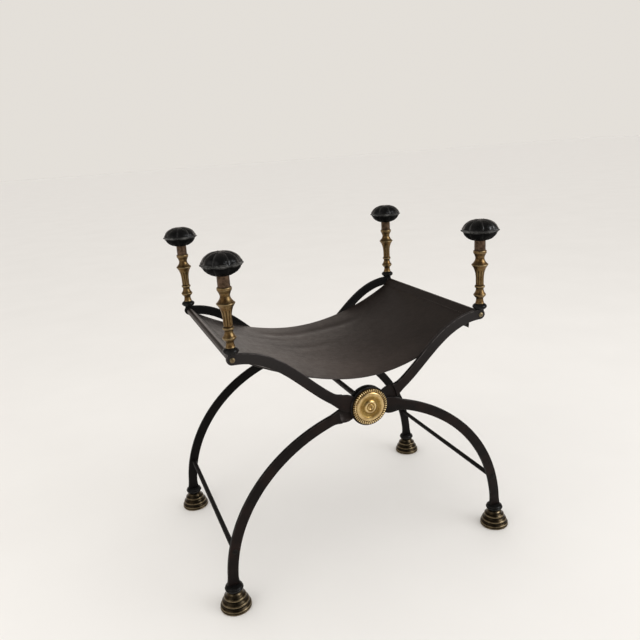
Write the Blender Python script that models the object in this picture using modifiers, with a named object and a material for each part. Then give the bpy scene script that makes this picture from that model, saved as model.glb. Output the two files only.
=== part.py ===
"""Wrought iron folding stool: two S-curved frames cross on one axle and carry a leather sling.

The left frame has the left arms and the right legs, the right frame is its mirror image.
Metres, +Z up, front towards -Y, origin on the floor under the axle.
"""

import math

import bmesh
import bpy
from mathutils import Vector
from mathutils.geometry import interpolate_bezier, intersect_line_line_2d

GAP = 0.0003  # between neighbouring pieces
PLAY = 0.0003  # round a pin, rod or stud in its hole
WELD = 0.00001  # points closer than this are one point
SHARP_ANGLE = math.radians(35)  # edges sharper than this stay crisp

# Flat bars: arm, crossing and leg in one
FRAME_DEPTH = 0.397  # front bars to rear bars, middle to middle
BAR_THICKNESS = 0.008
ARM_WIDTH = 0.0200
LEG_WIDTH = 0.0205
HUB_HEIGHT = 0.353
HUB_SLOPE = math.radians(4.7)
ARM_REACH = 0.257  # seat screw, sideways from the axle
ARM_HEIGHT = 0.495
FOOT_REACH = 0.299
ARM_END_PULL = 0.113  # how far each end holds its direction
ARM_HUB_PULL = 0.107
LEG_HUB_PULL = 0.168
LEG_END_PULL = 0.162
OUTER_SHOULDER = 0.0085  # swelling beside the crossing, on the arm's upper and the leg's lower edge
FORK_SHOULDER = 0.0045  # the same on the two edges that meet in the fork
SHOULDER_AT = 0.047
SHOULDER_SPREAD = 0.034
PAD_WIDTH = 0.0148  # flat seat for the collar on top of the arm end
PAD_RISE = 0.0008
LEG_FLARE = 0.0022  # added to each edge at the leg's end
LEG_FLARE_LENGTH = 0.020
LAP_MARGIN = 0.002  # halved crossing, past the fork of the two bars

# Rods, axle and their fastenings
SEAT_ROD_DIAMETER = 0.0105
STRETCHER_DIAMETER = 0.0098
STRETCHER_HEIGHT = 0.120
AXLE_DIAMETER = 0.011
SCREW_HEAD_DIAMETER = 0.0100
SCREW_HEAD_HEIGHT = 0.0030
SCREW_DIAMETER = 0.0050
SCREW_GRIP = 0.014  # length in the end of the rod
RIVET_HEAD_DIAMETER = 0.0104
RIVET_HEAD_HEIGHT = 0.0016
RIVET_DIAMETER = 0.0044
RIVET_GRIP = 0.010

# Boss and medallion on the outer side of the crossing, plain disc on its inner side
BOSS_DIAMETER = 0.0785
BOSS_THICKNESS = 0.0022
BOSS_EDGE = 0.0006  # bevel round the face
BOSS_SOCKET = 0.0010  # depth of the axle in the boss
HUB_DISC_DIAMETER = 0.0775
HUB_DISC_THICKNESS = 0.0050
MEDALLION_DIAMETER = 0.0728
MEDALLION_THICKNESS = 0.0045  # up to the top of the rope rim
ROPE_WIDTH = 0.0058
ROPE_ROUNDING = 0.0022  # drop from the top of the rope to its outer edge
ROPE_GROOVE = 0.0010  # depth of the groove inside the rope
BAND_RISE = 0.0008  # smooth band, above the rope
BAND_WIDTH = 0.0036
BAND_OUTER_SLOPE = 0.0030  # width of the band's slope towards the rope
BAND_INNER_SLOPE = 0.0050
HOLLOW_DEPTH = 0.0016  # hollow ring, below the rope
DOME_DIAMETER = 0.0240
DOME_RISE = 0.0018  # above the rope
BEAD_WIDTH = 0.0022  # bead round the dome
BEAD_SLOPE = 0.0022

# Post, its collar and its stud
COLLAR_DIAMETER = 0.0286
COLLAR_HEIGHT = 0.0115
COLLAR_NECK_DIAMETER = 0.0185
STUD_DIAMETER = 0.0040
STUD_IN_ARM = 0.0050
STUD_IN_CORE = 0.0120
# Turned members of a post from its top: length, radius at the member's lower end
POST_TOP_RADIUS = 0.0109
POST_MEMBERS = (
    (0.0193, 0.0109),  # plain neck
    (0.0011, 0.0130),  # ring
    (0.0047, 0.0130),
    (0.0017, 0.0117),
    (0.0055, 0.0094),  # waist
    (0.0034, 0.0086),
    (0.0050, 0.0102),
    (0.0043, 0.0134),
    (0.0032, 0.0168),  # sharp ridge
    (0.0032, 0.0145),
    (0.0034, 0.0125),
    (0.0014, 0.0117),
    (0.0078, 0.0092),  # shaft, hollowed like a bell
    (0.0095, 0.0080),
    (0.0163, 0.0080),
    (0.0012, 0.0100),  # bead
    (0.0030, 0.0100),
    (0.0014, 0.0078),
    (0.0034, 0.0074),
    (0.0062, 0.0095),
    (0.0040, 0.0127),  # lower ridge
    (0.0033, 0.0110),
    (0.0042, 0.0068),
    (0.0064, 0.0076),
    (0.0045, 0.0091),  # flared base
)

# Stuffed leather knob and its wooden core
KNOB_DIAMETER = 0.0745  # over the pinched welt
KNOB_WELT = 0.0034  # how far the welt stands out
KNOB_CROWN = 0.0210  # above the welt
KNOB_UNDERSIDE = 0.0193  # below the welt
KNOB_GORES = 8
KNOB_SEAM = 0.0012  # height of the sewn ridges
KNOB_SEAM_SHARPNESS = 6  # higher gives narrower ridges
CORE_DIAMETER = 0.040
CORE_NECK_DIAMETER = 0.0165
CORE_NECK_LENGTH = 0.0070
CORE_HEIGHT = 0.0280

# Flattened ball knop and stepped foot
KNOP_DIAMETER = 0.0360
KNOP_BALL_HEIGHT = 0.0128
KNOP_NECK_DIAMETER = 0.0240
KNOP_NECK_HEIGHT = 0.0012
KNOP_NECK_FILLET = 0.0004
KNOP_TOP_DIAMETER = 0.0250
STUD_IN_LEG = 0.0120
STUD_IN_FOOT = 0.0200
# Steps of a foot from its top: height of the step, radius at the step's lower end
FOOT_TOP_RADIUS = 0.0130
FOOT_STEPS = (
    (0.0018, 0.0150),  # cap
    (0.0040, 0.0172),
    (0.0030, 0.0212),  # upper ring
    (0.0022, 0.0216),
    (0.0014, 0.0200),
    (0.0040, 0.0226),
    (0.0026, 0.0262),  # middle ring
    (0.0022, 0.0266),
    (0.0014, 0.0252),
    (0.0034, 0.0272),
    (0.0018, 0.0298),  # lower ring
    (0.0018, 0.0300),
    (0.0010, 0.0290),
    (0.0020, 0.0305),  # base
    (0.0024, 0.0296),
)

# Leather sling
LEATHER = 0.0025
SLING_EDGE_GAP = 0.0095  # leather's edges to the bars
SLING_LOW = 0.4180  # height of the seat at its lowest
SEAM_INSET = 0.0150  # sewn seam, inside the rod's middle
SEAM_DROP = 0.0075  # sewn seam, below the rod's middle
WRAP_TURN = math.radians(112)  # leather on the rod, each way from its outer side
FLAP_LENGTH = 0.0190  # loose end under the seat, past the seam
FLAP_DROOP = 0.0060

ROUND_STEPS = 14
FOOT_ROUND_STEPS = 20
WIDE_STEPS = 28
PIN_STEPS = 10
ARM_STEPS = 20
LEG_STEPS = 24
KNOB_GORE_STEPS = 3
KNOB_RINGS = 10
SLING_STEPS = 14

FRONT = -1
REAR = 1
LEFT = -1
RIGHT = 1

BAR_MIDDLE = FRAME_DEPTH / 2
BAR_OUTER = BAR_MIDDLE + BAR_THICKNESS / 2
BAR_INNER = BAR_MIDDLE - BAR_THICKNESS / 2
SLING_WIDTH = 2 * (BAR_INNER - SLING_EDGE_GAP)
FOOT_HEIGHT = sum(height for height, radius in FOOT_STEPS)
KNOP_BOTTOM = FOOT_HEIGHT + GAP
KNOP_TOP = KNOP_BOTTOM + KNOP_NECK_HEIGHT + KNOP_BALL_HEIGHT
LEG_END = KNOP_TOP + GAP
PAD_TOP = ARM_HEIGHT + ARM_WIDTH / 2 + PAD_RISE
COLLAR_BOTTOM = PAD_TOP + GAP
POST_BOTTOM = COLLAR_BOTTOM + COLLAR_HEIGHT + GAP
POST_HEIGHT = sum(length for length, radius in POST_MEMBERS)
KNOB_BOTTOM = POST_BOTTOM + POST_HEIGHT + GAP
STUD_HOLE = STUD_DIAMETER / 2 + PLAY
AXLE_HOLE = AXLE_DIAMETER / 2 + PLAY


def clear_scene():
    for obj in list(bpy.data.objects):
        bpy.data.objects.remove(obj, do_unlink=True)


def new_collection(name):
    collection = bpy.data.collections.new(name)
    bpy.context.scene.collection.children.link(collection)
    return collection


def finish(name, colour, roughness, metallic):
    material = bpy.data.materials.new(name)
    material.use_nodes = True
    shader = material.node_tree.nodes["Principled BSDF"]
    shader.inputs["Base Color"].default_value = (*colour, 1)
    shader.inputs["Roughness"].default_value = roughness
    shader.inputs["Metallic"].default_value = metallic
    return material


def arc(centre, radius, start, end, steps):
    """Points of an arc in a plane, both ends included, with the angles in radians."""
    points = []
    for step in range(steps + 1):
        angle = start + (end - start) * step / steps
        points.append((centre[0] + radius * math.cos(angle), centre[1] + radius * math.sin(angle)))
    return points


def stacked(top, first_radius, members):
    """Profile of turned members that hang one under the other from a height."""
    points = [(first_radius, top)]
    height = top
    for length, radius in members:
        height -= length
        points.append((radius, height))
    return points


def ball_profile(radius, flat_radius, bottom, height, steps):
    """Rounded side of a flattened ball, from its flat top to its flat bottom."""
    lean = math.acos(flat_radius / radius)
    stretch = height / 2 / math.sin(lean)
    middle = bottom + height / 2
    unit = arc((0, 0), 1, lean, -lean, steps)
    return [(radius * across, middle + stretch * up) for across, up in unit]


def smooth(mesh):
    mesh.shade_smooth()
    mesh.set_sharp_from_angle(angle=SHARP_ANGLE)


def place(obj, collection, parent, material):
    """Puts a piece in its collection, under the empty on the axle."""
    collection.objects.link(obj)
    obj.data.materials.append(material)
    obj.parent = parent
    obj.matrix_parent_inverse = parent.matrix_world.inverted()
    return obj


def turned(name, profile, location, steps=ROUND_STEPS, facing=None, closed=False):
    """A turned piece: radius and height points, down the outer side, round the piece's own axis.

    facing FRONT or REAR lays the axis along Y, with the top of the profile facing outwards.
    """
    mesh = bpy.data.meshes.new(name)
    edges = [(index, index + 1) for index in range(len(profile) - 1)]
    if closed:
        edges.append((len(profile) - 1, 0))
    mesh.from_pydata([(radius, 0, height) for radius, height in profile], edges, [])
    obj = bpy.data.objects.new(name, mesh)
    obj.location = location
    if facing:
        obj.rotation_euler = (-facing * math.pi / 2, 0, 0)
    screw = obj.modifiers.new("turning", "SCREW")
    screw.axis = "Z"
    screw.steps = steps
    screw.render_steps = steps
    screw.use_merge_vertices = True
    screw.merge_threshold = WELD
    screw.use_smooth_shade = True
    return obj


def flat_plate(name, outlines, thickness, location):
    """A closed mesh from flat outlines in the XZ plane: the first is the plate, the others are holes."""
    curve = bpy.data.curves.new(name, "CURVE")
    curve.dimensions = "2D"
    curve.fill_mode = "BOTH"
    curve.extrude = thickness / 2
    for outline in outlines:
        spline = curve.splines.new("POLY")
        spline.points.add(len(outline) - 1)
        for point, (across, up) in zip(spline.points, outline):
            point.co = (across, up, 0, 1)
        spline.use_cyclic_u = True
    drawn = bpy.data.objects.new(name + "_outline", curve)
    bpy.context.scene.collection.objects.link(drawn)
    drawn.rotation_euler = (math.pi / 2, 0, 0)
    drawn.location = location
    bpy.context.view_layer.update()
    graph = bpy.context.evaluated_depsgraph_get()
    mesh = bpy.data.meshes.new_from_object(drawn.evaluated_get(graph))
    mesh.name = name
    mesh.materials.clear()
    shape = bmesh.new()
    shape.from_mesh(mesh)
    bmesh.ops.remove_doubles(shape, verts=shape.verts, dist=WELD)
    bmesh.ops.recalc_face_normals(shape, faces=shape.faces)
    shape.to_mesh(mesh)
    shape.free()
    obj = bpy.data.objects.new(name, mesh)
    obj.matrix_world = drawn.matrix_world
    bpy.data.objects.remove(drawn, do_unlink=True)
    bpy.data.curves.remove(curve)
    return obj


def pin_cutter(name, cutters, radius, start, end, steps=PIN_STEPS):
    """A round cutter between two points."""
    start = Vector(start)
    end = Vector(end)
    shape = bmesh.new()
    bmesh.ops.create_cone(
        shape,
        cap_ends=True,
        segments=steps,
        radius1=radius,
        radius2=radius,
        depth=(end - start).length,
    )
    mesh = bpy.data.meshes.new(name)
    shape.to_mesh(mesh)
    shape.free()
    obj = bpy.data.objects.new(name, mesh)
    obj.location = (start + end) / 2
    obj.rotation_mode = "QUATERNION"
    obj.rotation_quaternion = (end - start).to_track_quat("Z", "Y")
    as_cutter(obj, cutters)
    return obj


def as_cutter(obj, cutters):
    obj.hide_render = True
    obj.display_type = "WIRE"
    cutters.objects.link(obj)


def cut(obj, cutter):
    boolean = obj.modifiers.new("cut_" + cutter.name, "BOOLEAN")
    boolean.operation = "DIFFERENCE"
    boolean.solver = "EXACT"
    boolean.object = cutter


def bar_middle_line():
    """Middle line of the left frame's bar from the arm's end to the leg's end, as X, Z points."""
    arm_end = Vector((-ARM_REACH, ARM_HEIGHT))
    hub = Vector((0, HUB_HEIGHT))
    leg_end = Vector((FOOT_REACH, LEG_END))
    along = Vector((math.cos(HUB_SLOPE), -math.sin(HUB_SLOPE)))
    arm = interpolate_bezier(
        arm_end, arm_end + Vector((ARM_END_PULL, 0)), hub - along * ARM_HUB_PULL, hub, ARM_STEPS
    )
    leg = interpolate_bezier(
        hub, hub + along * LEG_HUB_PULL, leg_end + Vector((0, LEG_END_PULL)), leg_end, LEG_STEPS
    )
    line = [Vector(point[:2]) for point in arm]
    line.extend(Vector(point[:2]) for point in leg[1:])
    return line


def bar_half_widths(from_hub, is_arm, to_end):
    """From the bar's middle line to its upper and to its lower edge."""
    half = (ARM_WIDTH if is_arm else LEG_WIDTH) / 2
    if not is_arm and to_end < LEG_FLARE_LENGTH:
        half += LEG_FLARE * (1 - to_end / LEG_FLARE_LENGTH) ** 2
    reach = min(abs(from_hub - SHOULDER_AT) / SHOULDER_SPREAD, 1)
    swelling = (1 + math.cos(math.pi * reach)) / 2
    outer = half + OUTER_SHOULDER * swelling
    fork = half + FORK_SHOULDER * swelling
    return (outer, fork) if is_arm else (fork, outer)


def bar_edges(line):
    """Upper and lower edge of the bar along its middle line."""
    upper = []
    lower = []
    # The arm ends level and the leg ends upright.
    directions = [after - before for before, after in zip(line, line[2:])]
    directions = [Vector((1, 0))] + directions + [Vector((0, -1))]
    for point, direction in zip(line, directions):
        direction.normalize()
        normal = Vector((-direction.y, direction.x))
        from_hub = (point - Vector((0, HUB_HEIGHT))).length
        is_arm = point.x < 0
        above, below = bar_half_widths(from_hub, is_arm, abs(point.y - LEG_END))
        upper.append(point + normal * above)
        lower.append(point - normal * below)
    return upper, lower


def lap_radius(upper, lower):
    """Radius round the axle that takes in the fork, where an arm's underside meets the other bar's leg."""
    hub = Vector((0, HUB_HEIGHT))
    arm_under = [point for point in lower if point.x <= 0]
    leg_over = [Vector((-point.x, point.y)) for point in upper if point.x >= 0]
    reach = SHOULDER_AT
    for arm_start, arm_end in zip(arm_under, arm_under[1:]):
        for leg_start, leg_end in zip(leg_over, leg_over[1:]):
            fork = intersect_line_line_2d(arm_start, arm_end, leg_start, leg_end)
            if fork:
                reach = max(reach, (fork - hub).length)
    return (reach + LAP_MARGIN) / math.cos(math.pi / WIDE_STEPS)


def bar_outline(upper, lower):
    """Closed outline: upper edge, flared leg end, lower edge, round arm end and the collar's pad."""
    pad_inner = -ARM_REACH + PAD_WIDTH / 2
    pad_outer = -ARM_REACH - PAD_WIDTH / 2
    radius = ARM_WIDTH / 2
    outline = [(pad_inner, PAD_TOP)]
    outline.extend(point[:] for point in upper if point.x > pad_inner)
    outline.extend(point[:] for point in reversed(lower[1:]))
    pad_side = math.pi - math.acos(min(PAD_WIDTH / 2 / radius, 1))
    outline.extend(arc((-ARM_REACH, ARM_HEIGHT), radius, -math.pi / 2, -2 * math.pi + pad_side, 9))
    outline.append((pad_outer, PAD_TOP))
    return outline


def stretcher_point(line):
    """Where the leg's middle line passes the height of the stretcher."""
    for upper, lower in zip(line, line[1:]):
        if upper.x > 0 and upper.y >= STRETCHER_HEIGHT >= lower.y:
            share = (upper.y - STRETCHER_HEIGHT) / (upper.y - lower.y)
            return upper.lerp(lower, share)
    return line[-1]


def make_bar(name, side, face, cutters):
    """A bar of the left or right frame, at the front or rear, halved where it crosses the other."""
    line = bar_middle_line()
    upper, lower = bar_edges(line)
    outline = [(side * -across, up - HUB_HEIGHT) for across, up in bar_outline(upper, lower)]
    middle = face * BAR_MIDDLE
    bar = flat_plate(name, [outline], BAR_THICKNESS, (0, middle, HUB_HEIGHT))
    near = middle - BAR_THICKNESS
    far = middle + BAR_THICKNESS
    # The left frame keeps the outer half at the crossing, the right frame the inner half.
    lap_side = face * side
    lap_start = (0, middle - lap_side * GAP / 2, HUB_HEIGHT)
    lap_end = (0, middle + lap_side * BAR_THICKNESS, HUB_HEIGHT)
    arm = side * ARM_REACH
    rivet = stretcher_point(line)
    leg = -side * rivet.x
    foot = -side * FOOT_REACH
    stud_floor = (arm, middle, PAD_TOP - STUD_IN_ARM - PLAY)
    above_arm = (arm, middle, PAD_TOP + BAR_THICKNESS)
    stud_roof = (foot, middle, LEG_END + STUD_IN_LEG + PLAY)
    below_leg = (foot, middle, LEG_END - BAR_THICKNESS)
    screw_hole = SCREW_DIAMETER / 2 + PLAY
    rivet_hole = RIVET_DIAMETER / 2 + PLAY
    holes = [
        ("lap", lap_radius(upper, lower), lap_start, lap_end, WIDE_STEPS),
        ("axle", AXLE_HOLE, (0, near, HUB_HEIGHT), (0, far, HUB_HEIGHT), PIN_STEPS),
        ("screw", screw_hole, (arm, near, ARM_HEIGHT), (arm, far, ARM_HEIGHT), PIN_STEPS),
        ("rivet", rivet_hole, (leg, near, rivet.y), (leg, far, rivet.y), PIN_STEPS),
        ("post_stud", STUD_HOLE, stud_floor, above_arm, PIN_STEPS),
        ("foot_stud", STUD_HOLE, below_leg, stud_roof, PIN_STEPS),
    ]
    for hole, size, start, end, steps in holes:
        cut(bar, pin_cutter(name + "_" + hole, cutters, size, start, end, steps))
    return bar


def rod_profile(diameter, length, bore, depth):
    """A rod with a blind bore in each end."""
    half = length / 2
    outer = diameter / 2
    return [
        (0, half - depth),
        (bore, half - depth),
        (bore, half),
        (outer, half),
        (outer, -half),
        (bore, -half),
        (bore, depth - half),
        (0, depth - half),
    ]


def headed_pin_profile(head_diameter, head_height, diameter, length):
    """A domed head with its flat side at height 0 and its shank below."""
    dome = arc((0, 0), 1, math.pi / 2, 0, 3)
    profile = [(head_diameter / 2 * across, head_height * up) for across, up in dome]
    profile.extend([(diameter / 2, 0), (diameter / 2, -length), (0, -length)])
    return profile


def boss_profile():
    outer = BOSS_DIAMETER / 2
    return [
        (0, BOSS_THICKNESS),
        (outer - BOSS_EDGE, BOSS_THICKNESS),
        (outer, BOSS_THICKNESS - BOSS_EDGE),
        (outer, 0),
        (AXLE_HOLE, 0),
        (AXLE_HOLE, BOSS_SOCKET + PLAY),
        (0, BOSS_SOCKET + PLAY),
    ]


def medallion_profile():
    """Dome, bead, hollow ring, smooth band and rope rim, from the middle out."""
    outer = MEDALLION_DIAMETER / 2
    rope_inner = outer - ROPE_WIDTH
    band_outer = rope_inner - BAND_OUTER_SLOPE
    band_inner = band_outer - BAND_WIDTH
    bead = DOME_DIAMETER / 2 + BEAD_WIDTH
    rope = MEDALLION_THICKNESS
    hollow = rope - HOLLOW_DEPTH
    dome_floor = rope - ROPE_GROOVE
    dome_rise = ROPE_GROOVE + DOME_RISE
    dome = arc((0, 0), 1, math.pi / 2, 0, 3)
    profile = [(DOME_DIAMETER / 2 * across, dome_floor + dome_rise * up) for across, up in dome]
    profile.extend([
        (bead, dome_floor),
        (bead + BEAD_SLOPE, hollow),
        (band_inner - BAND_INNER_SLOPE, hollow),
        (band_inner, rope + BAND_RISE),
        (band_outer, rope + BAND_RISE),
        (rope_inner, rope - ROPE_GROOVE),
        (outer - ROPE_WIDTH / 2, rope),
        (outer, rope - ROPE_ROUNDING),
        (outer, 0),
        (0, 0),
    ])
    return profile


def bored(profile, hole, top, bottom):
    """A turned profile with a straight hole through it."""
    return profile + [(hole, bottom), (hole, top)]


def collar_profile():
    side = ball_profile(COLLAR_DIAMETER / 2, COLLAR_NECK_DIAMETER / 2, 0, COLLAR_HEIGHT, 5)
    return bored(side, STUD_HOLE, COLLAR_HEIGHT, 0)


def knop_profile():
    neck = KNOP_NECK_DIAMETER / 2
    side = ball_profile(KNOP_DIAMETER / 2, KNOP_TOP_DIAMETER / 2, KNOP_NECK_HEIGHT, KNOP_BALL_HEIGHT, 6)
    side.extend([(neck, KNOP_NECK_HEIGHT - KNOP_NECK_FILLET), (neck, 0)])
    return bored(side, STUD_HOLE, KNOP_NECK_HEIGHT + KNOP_BALL_HEIGHT, 0)


def foot_profile():
    floor = FOOT_HEIGHT - STUD_IN_FOOT - PLAY
    steps = stacked(FOOT_HEIGHT, FOOT_TOP_RADIUS, FOOT_STEPS)
    return [(0, floor), (STUD_HOLE, floor), (STUD_HOLE, FOOT_HEIGHT)] + steps + [(0, 0)]


def core_profile(grow):
    """Mushroom-shaped wooden core, or with grow the room that it needs."""
    neck = CORE_NECK_DIAMETER / 2 + grow
    outer = CORE_DIAMETER / 2 + grow
    rise = CORE_HEIGHT - CORE_NECK_LENGTH + 2 * grow
    dome = arc((0, 0), 1, math.pi / 2, 0, 4)
    cap = [(outer * across, CORE_NECK_LENGTH - grow + rise * up) for across, up in dome]
    return cap + [(neck, CORE_NECK_LENGTH - grow)]


def knob_core():
    """The core with its neck down to the post and a bore for the stud."""
    neck = CORE_NECK_DIAMETER / 2
    roof = STUD_IN_CORE + PLAY
    return core_profile(0) + [(neck, 0), (STUD_HOLE, 0), (STUD_HOLE, roof), (0, roof)]


def knob_cavity():
    neck = CORE_NECK_DIAMETER / 2 + GAP
    return core_profile(GAP) + [(neck, -KNOB_UNDERSIDE), (0, -KNOB_UNDERSIDE)]


def stuffed_knob(name, location, cutters):
    """A padded knob: crowned top and underside pinched to a welt, with sewn ridges between the gores."""
    shape = bmesh.new()
    around = KNOB_GORES * KNOB_GORE_STEPS
    bmesh.ops.create_uvsphere(shape, u_segments=around, v_segments=KNOB_RINGS, radius=1)
    body = KNOB_DIAMETER / 2 - KNOB_WELT
    for vertex in shape.verts:
        across = math.hypot(vertex.co.x, vertex.co.y)
        on_welt = abs(vertex.co.z) < WELD
        radius = KNOB_DIAMETER / 2 if on_welt else body
        height = KNOB_CROWN if vertex.co.z > 0 else KNOB_UNDERSIDE
        angle = math.atan2(vertex.co.y, vertex.co.x)
        on_seam = abs(math.cos(KNOB_GORES * angle / 2)) ** KNOB_SEAM_SHARPNESS
        ridge = 0 if on_welt else KNOB_SEAM * on_seam * math.sin(math.pi * across)
        up = vertex.co.z * height + math.copysign(ridge, vertex.co.z)
        vertex.co = (vertex.co.x * radius, vertex.co.y * radius, KNOB_UNDERSIDE + up)
    mesh = bpy.data.meshes.new(name)
    shape.to_mesh(mesh)
    shape.free()
    smooth(mesh)
    knob = bpy.data.objects.new(name, mesh)
    knob.location = location
    cavity = turned(name + "_cavity", knob_cavity(), location, PIN_STEPS)
    as_cutter(cavity, cutters)
    cut(knob, cavity)
    return knob


def sling_half_outline():
    """Right half of the sling's section, from the middle of the top to the middle of the underside."""
    rod = Vector((ARM_REACH, ARM_HEIGHT))
    roll = SEAT_ROD_DIAMETER / 2 + GAP + LEATHER
    middle_low = SLING_LOW - LEATHER / 2
    reach = ARM_REACH - SEAM_INSET
    sag = ARM_HEIGHT - SEAM_DROP - middle_low
    top = []
    under = []
    for step in range(SLING_STEPS + 1):
        across = reach * step / SLING_STEPS
        slope = 2 * sag * across / reach ** 2
        point = Vector((across, middle_low + sag * (across / reach) ** 2))
        normal = Vector((-slope, 1)).normalized()
        top.append(point + normal * LEATHER / 2)
        under.append(point - normal * LEATHER / 2)
    seam_direction = Vector((1, slope)).normalized()
    down = Vector((seam_direction.y, -seam_direction.x))
    lean = math.atan2(seam_direction.y, seam_direction.x)
    wrap = arc(rod, roll, lean + WRAP_TURN, lean - WRAP_TURN, SLING_STEPS)
    seam_under = under[-1] + down * LEATHER
    flap_end = seam_under - seam_direction * FLAP_LENGTH + down * FLAP_DROOP
    flap_inner = flap_end - down * LEATHER + seam_direction * LEATHER / 2
    outline = [point[:] for point in top]
    outline.extend(wrap)
    outline.extend([seam_under[:], flap_end[:], flap_inner[:]])
    outline.extend(point[:] for point in reversed(under))
    return outline


def make_sling(name):
    half = sling_half_outline()
    whole = half + [(-across, up) for across, up in reversed(half[1:-1])]
    hole = SEAT_ROD_DIAMETER / 2 + GAP
    outlines = [whole]
    for side in (LEFT, RIGHT):
        outlines.append(arc((side * ARM_REACH, ARM_HEIGHT), hole, 0, 2 * math.pi, ROUND_STEPS)[:-1])
    return flat_plate(name, outlines, SLING_WIDTH, (0, 0, 0))


def hinge_empty(name, collection):
    empty = bpy.data.objects.new(name, None)
    empty.location = (0, 0, HUB_HEIGHT)
    empty.empty_display_size = 0.05
    collection.objects.link(empty)
    return empty


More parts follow.
